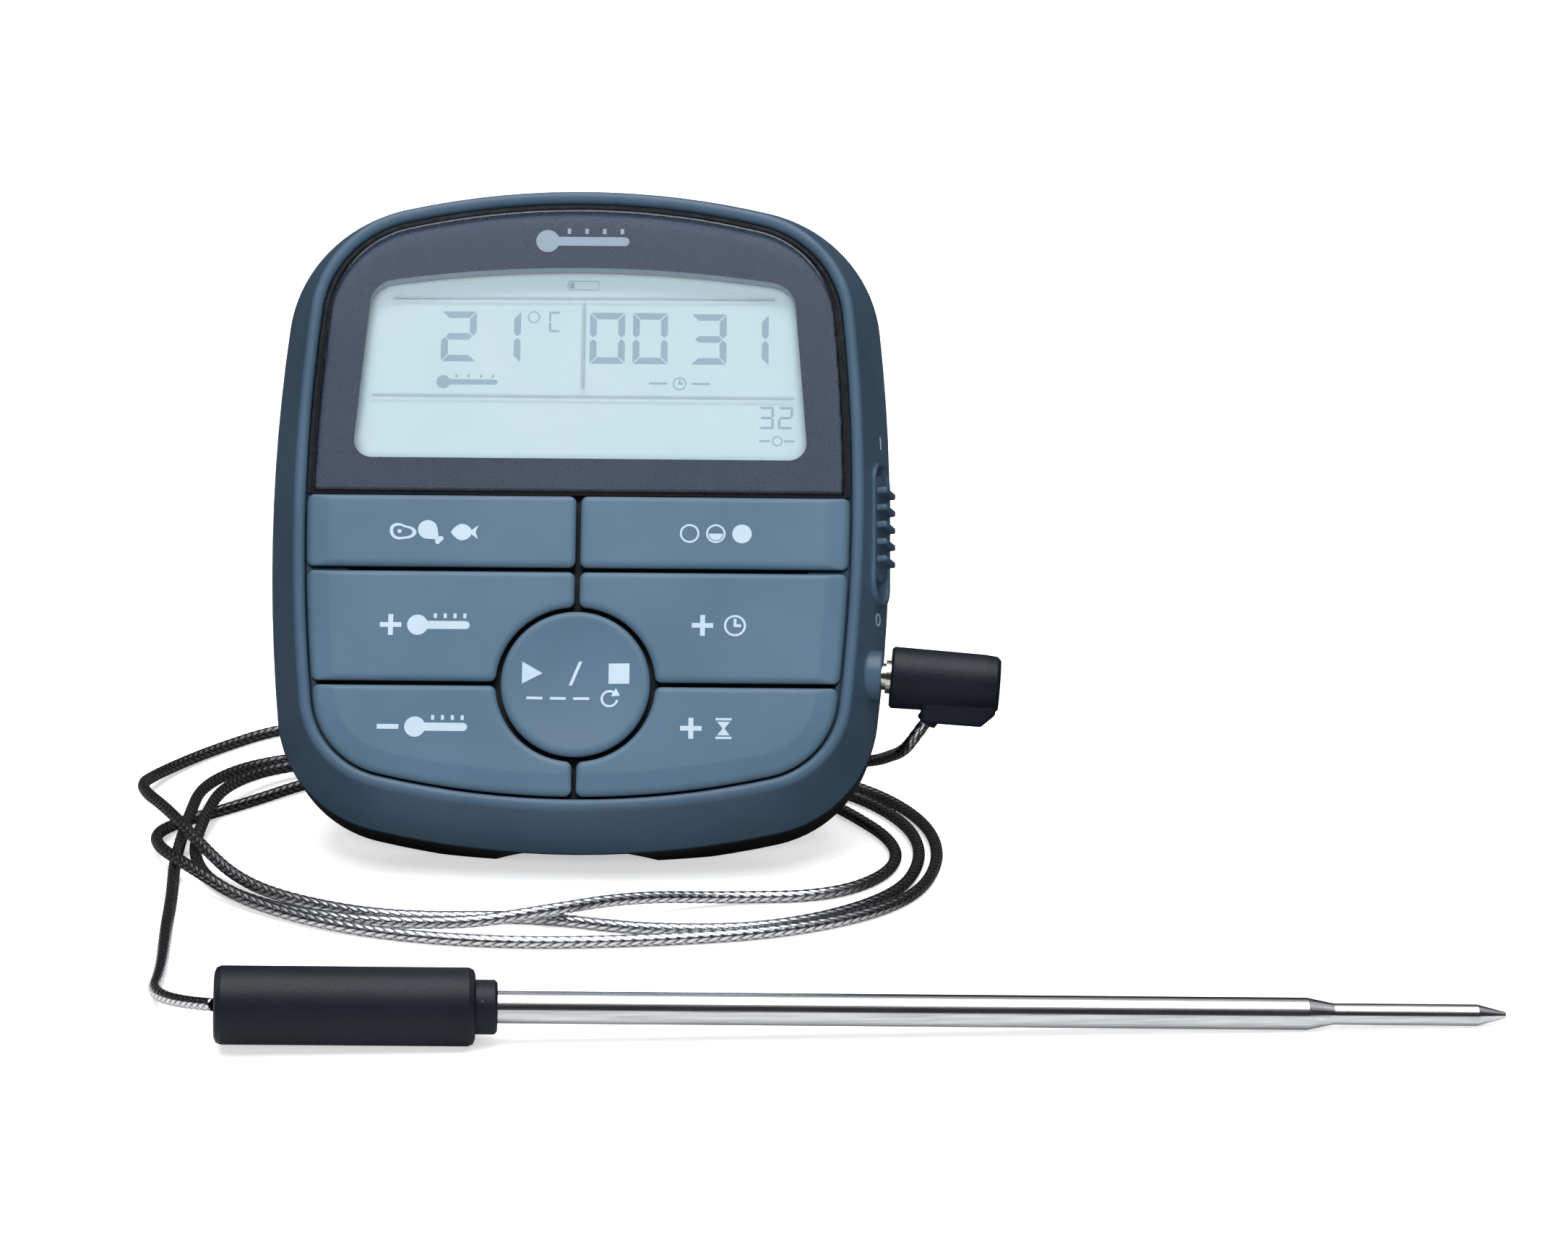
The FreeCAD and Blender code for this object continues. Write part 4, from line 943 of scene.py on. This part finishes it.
def add_key_prints():
    key_print(
        "meat_symbols",
        steak(-28.9, 25.4, 3.4) + drumstick(-24.2, 25.4, 4.0) + fish(-19.0, 25.4, 5.2, 2.8),
        "meat_button",
    )
    key_print("taste_symbols", doneness(22.6, 25.5, 1.6, 4.3), "taste_button")
    key_print(
        "temp_up_symbols",
        plus(-30.3, 9.6, 3.5, 0.8) + thermometer(-27.6, -17.4, 9.6, 3.4),
        "temp_up_button",
    )
    key_print(
        "temp_down_symbols",
        minus(-30.3, -7.5, 3.5, 0.8) + thermometer(-27.6, -17.4, -7.5, 3.4),
        "temp_down_button",
    )
    key_print("hour_symbols", plus(20.6, 9.9, 3.5, 0.8) + clock(25.9, 9.9, 1.8), "hour_button")
    key_print(
        "minute_symbols",
        plus(18.9, -7.4, 3.5, 0.8) + hourglass(24.2, -7.4, 2.6, 3.5),
        "minute_button",
    )


add_key_prints()
add_round_print()

segment_paint = moulded(
    "liquid_crystal_segments", shade(180, 200, 211), shade(186, 206, 217), 0.5, 3000, 1e-6
)
FRONT_OF_GLASS = 4.56
BACK_OF_GLASS = 5.71
SEGMENT_DEPTH = 0.02
DIGIT_BAR = 1.15
SMALL_BAR = 0.42
LCD_LINE = 0.28


def lcd_print(name, shapes, front):
    plate(name, shapes, front, front + SEGMENT_DEPTH, "unit", segment_paint)


def line_shape(first, second, width):
    (u0, v0), (u1, v1) = first, second
    h = width / 2
    return [[(u0, v0 - h), (u1, v1 - h), (u1, v1 + h), (u0, v0 + h)]]


def add_lcd_prints():
    digits = seven_segments(2, -23.8, 56.9, -17.9, 65.7, DIGIT_BAR)
    digits += seven_segments(1, -16.4, 56.7, -10.5, 65.8, DIGIT_BAR)
    digits += seven_segments(0, 1.07, 56.7, 6.96, 65.7, DIGIT_BAR)
    digits += seven_segments(0, 8.27, 56.7, 14.14, 65.7, DIGIT_BAR)
    digits += seven_segments(3, 18.02, 56.7, 23.98, 65.6, DIGIT_BAR)
    digits += seven_segments(1, 25.2, 56.6, 31.04, 65.6, DIGIT_BAR)
    digits += seven_segments(3, 29.5, 45.5, 32.0, 49.4, SMALL_BAR)
    digits += seven_segments(2, 32.7, 45.5, 35.2, 49.4, SMALL_BAR)
    lcd_print("lcd_digits", digits, BACK_OF_GLASS)
    lines = line_shape((-31.85, 67.74), (32.04, 68.03), LCD_LINE)
    lines += line_shape((-35.08, 50.62), (35.3, 50.58), LCD_LINE)
    lines += rectangle(-0.1, 51.8, 0.2, 67.0)
    lcd_print("lcd_lines", lines, FRONT_OF_GLASS)
    symbols = ring(-8.35, 64.8, 1.05, 0.22)
    symbols += seven_segments("C", -5.8, 62.2, -3.8, 65.8, 0.36)
    symbols += thermometer(-24.4, -14.2, 53.3, 2.3)
    symbols += clock(16.2, 53.3, 1.15)
    symbols += minus(12.6, 53.3, 3.0, 0.35) + minus(19.8, 53.3, 3.0, 0.35)
    symbols += ring(32.6, 43.4, 0.9, 0.24)
    symbols += minus(30.5, 43.4, 1.8, 0.35) + minus(34.6, 43.4, 1.8, 0.35)
    symbols += battery(-2.6, 69.6, 2.5, 71.3, 0.16)
    lcd_print("lcd_symbols", symbols, BACK_OF_GLASS)


add_lcd_prints()


WINDOW_INK_FRONT = 1.13
WINDOW_INK_BACK = 1.18


def add_window_print():
    """The pale symbol over the display, printed on the back of the window."""
    shapes = thermometer(-8.0, 7.6, 76.7, 3.9)
    front, back = WINDOW_INK_FRONT, WINDOW_INK_BACK
    plate("window_symbol", shapes, front, back, "unit", legend)


add_window_print()


def add_switch_prints():
    """A bar over the slide switch and a ring under it, laid on the housing's right side."""
    target = surface_of("front_housing")
    inward = Vector((-1, 0, 0))

    def on_side(depth, lift, height):
        place = unit_point(RIGHT_OF_UNIT, depth, height)
        hit = target.ray_cast(place, inward)
        return hit[0] + hit[1] * lift * MM

    def side_print(name, shapes):
        plate(name, shapes, INK, -INK_ROOT, "unit", legend, place=on_side)

    side_print("switch_on_symbol", rectangle(8.9, 43.1, 9.3, 45.3))
    side_print("switch_off_symbol", ring(8.9, 13.6, 1.1, 0.32))


add_switch_prints()


# ---------------------------------------------------------------- floor, light and background


FLOOR_HALF = 5.0
FLOOR_GLOW = 0.45
DIM_FROM = -0.35
DIM_TO = 0.05
SIDE_START = 0.032
SIDE_REACH = 0.035


def grey(level):
    return (level, level, level, 1)


def add_floor():
    """A pale floor, which lights the object only from in front and stays dim beside and behind.

    The light it throws back changes from DIM_FROM to DIM_TO in depth. Beyond SIDE_START aside of
    the unit's middle, the same change comes up to SIDE_REACH nearer to the front.
    """
    half = FLOOR_HALF
    mesh = bpy.data.meshes.new("floor")
    corners = [(-half, -half, 0), (half, -half, 0), (half, half, 0), (-half, half, 0)]
    mesh.from_pydata(corners, [], [(0, 1, 2, 3)])
    floor = bpy.data.objects.new("floor", mesh)
    scene.collection.objects.link(floor)
    paint = Paint("pale_floor", roughness=0.9, specular_ior_level=0.1, emission_color=(1, 1, 1, 1))
    pale = paint.ramp(paint.noise(3, 2), (0.3, grey(0.86)), (0.7, grey(0.88)))
    place = paint.add("ShaderNodeSeparateXYZ", {0: paint.where})
    from_middle = paint.calculate("ADD", place.outputs[0], -UNIT_PLACE[0] * MM)
    aside = paint.calculate("ABSOLUTE", from_middle)
    beyond = paint.calculate("MAXIMUM", paint.calculate("SUBTRACT", aside, SIDE_START), 0.0)
    setback = paint.calculate("MINIMUM", beyond, SIDE_REACH)
    depth = paint.calculate("ADD", place.outputs[1], setback)
    dim = paint.ramp(
        paint.span(depth, 0.0, 1.0, DIM_FROM, DIM_TO),
        (0.0, grey(0.05)),
        (0.55, grey(0.6)),
        (0.86, grey(0.6)),
        (0.93, grey(0.04)),
    )
    seen = paint.add("ShaderNodeLightPath").outputs["Is Camera Ray"]
    paint.set("Base Color", paint.blend(seen, dim, pale))
    paint.set("Emission Strength", paint.calculate("MULTIPLY", seen, FLOOR_GLOW))
    mesh.materials.append(paint.material)


def add_sun(name, azimuth, elevation, spread, strength, mirrored=True):
    """A wide distant light, with its angles in degrees. The azimuth is 0 in front, 180 behind."""
    data = bpy.data.lights.new(name, "SUN")
    data.angle = math.radians(spread)
    data.energy = strength
    light = bpy.data.objects.new(name, data)
    a, e = math.radians(azimuth), math.radians(elevation)
    towards = Vector((math.sin(a) * math.cos(e), -math.cos(a) * math.cos(e), math.sin(e)))
    light.rotation_mode = "QUATERNION"
    light.rotation_quaternion = towards.to_track_quat("Z", "Y")
    light.visible_glossy = mirrored
    scene.collection.objects.link(light)


DARK_SKY = (0.55, (0.03, 0.03, 0.032, 1))
BRIGHT_SKY = (0.92, (0.7, 0.7, 0.71, 1))


def add_world():
    """A studio that is dark all round and bright overhead."""
    world = bpy.data.worlds.new("studio")
    world.use_nodes = True
    scene.world = world
    tree = world.node_tree
    where = tree.nodes.new("ShaderNodeTexCoord")
    split = tree.nodes.new("ShaderNodeSeparateXYZ")
    ramp = tree.nodes.new("ShaderNodeValToRGB")
    for element, stop in zip(ramp.color_ramp.elements, (DARK_SKY, BRIGHT_SKY)):
        element.position, element.color = stop
    tree.links.new(where.outputs["Generated"], split.inputs[0])
    tree.links.new(split.outputs[2], ramp.inputs[0])
    tree.links.new(ramp.outputs[0], tree.nodes["Background"].inputs["Color"])


add_floor()
add_world()
add_sun("overhead_softbox", 0, 80, 56, 3.4)
add_sun("front_fill", 0, 16, 32, 2.6, mirrored=False)
add_sun("rear_fill", 180, 8, 40, 1.6, mirrored=False)
scene.view_settings.view_transform = "Standard"
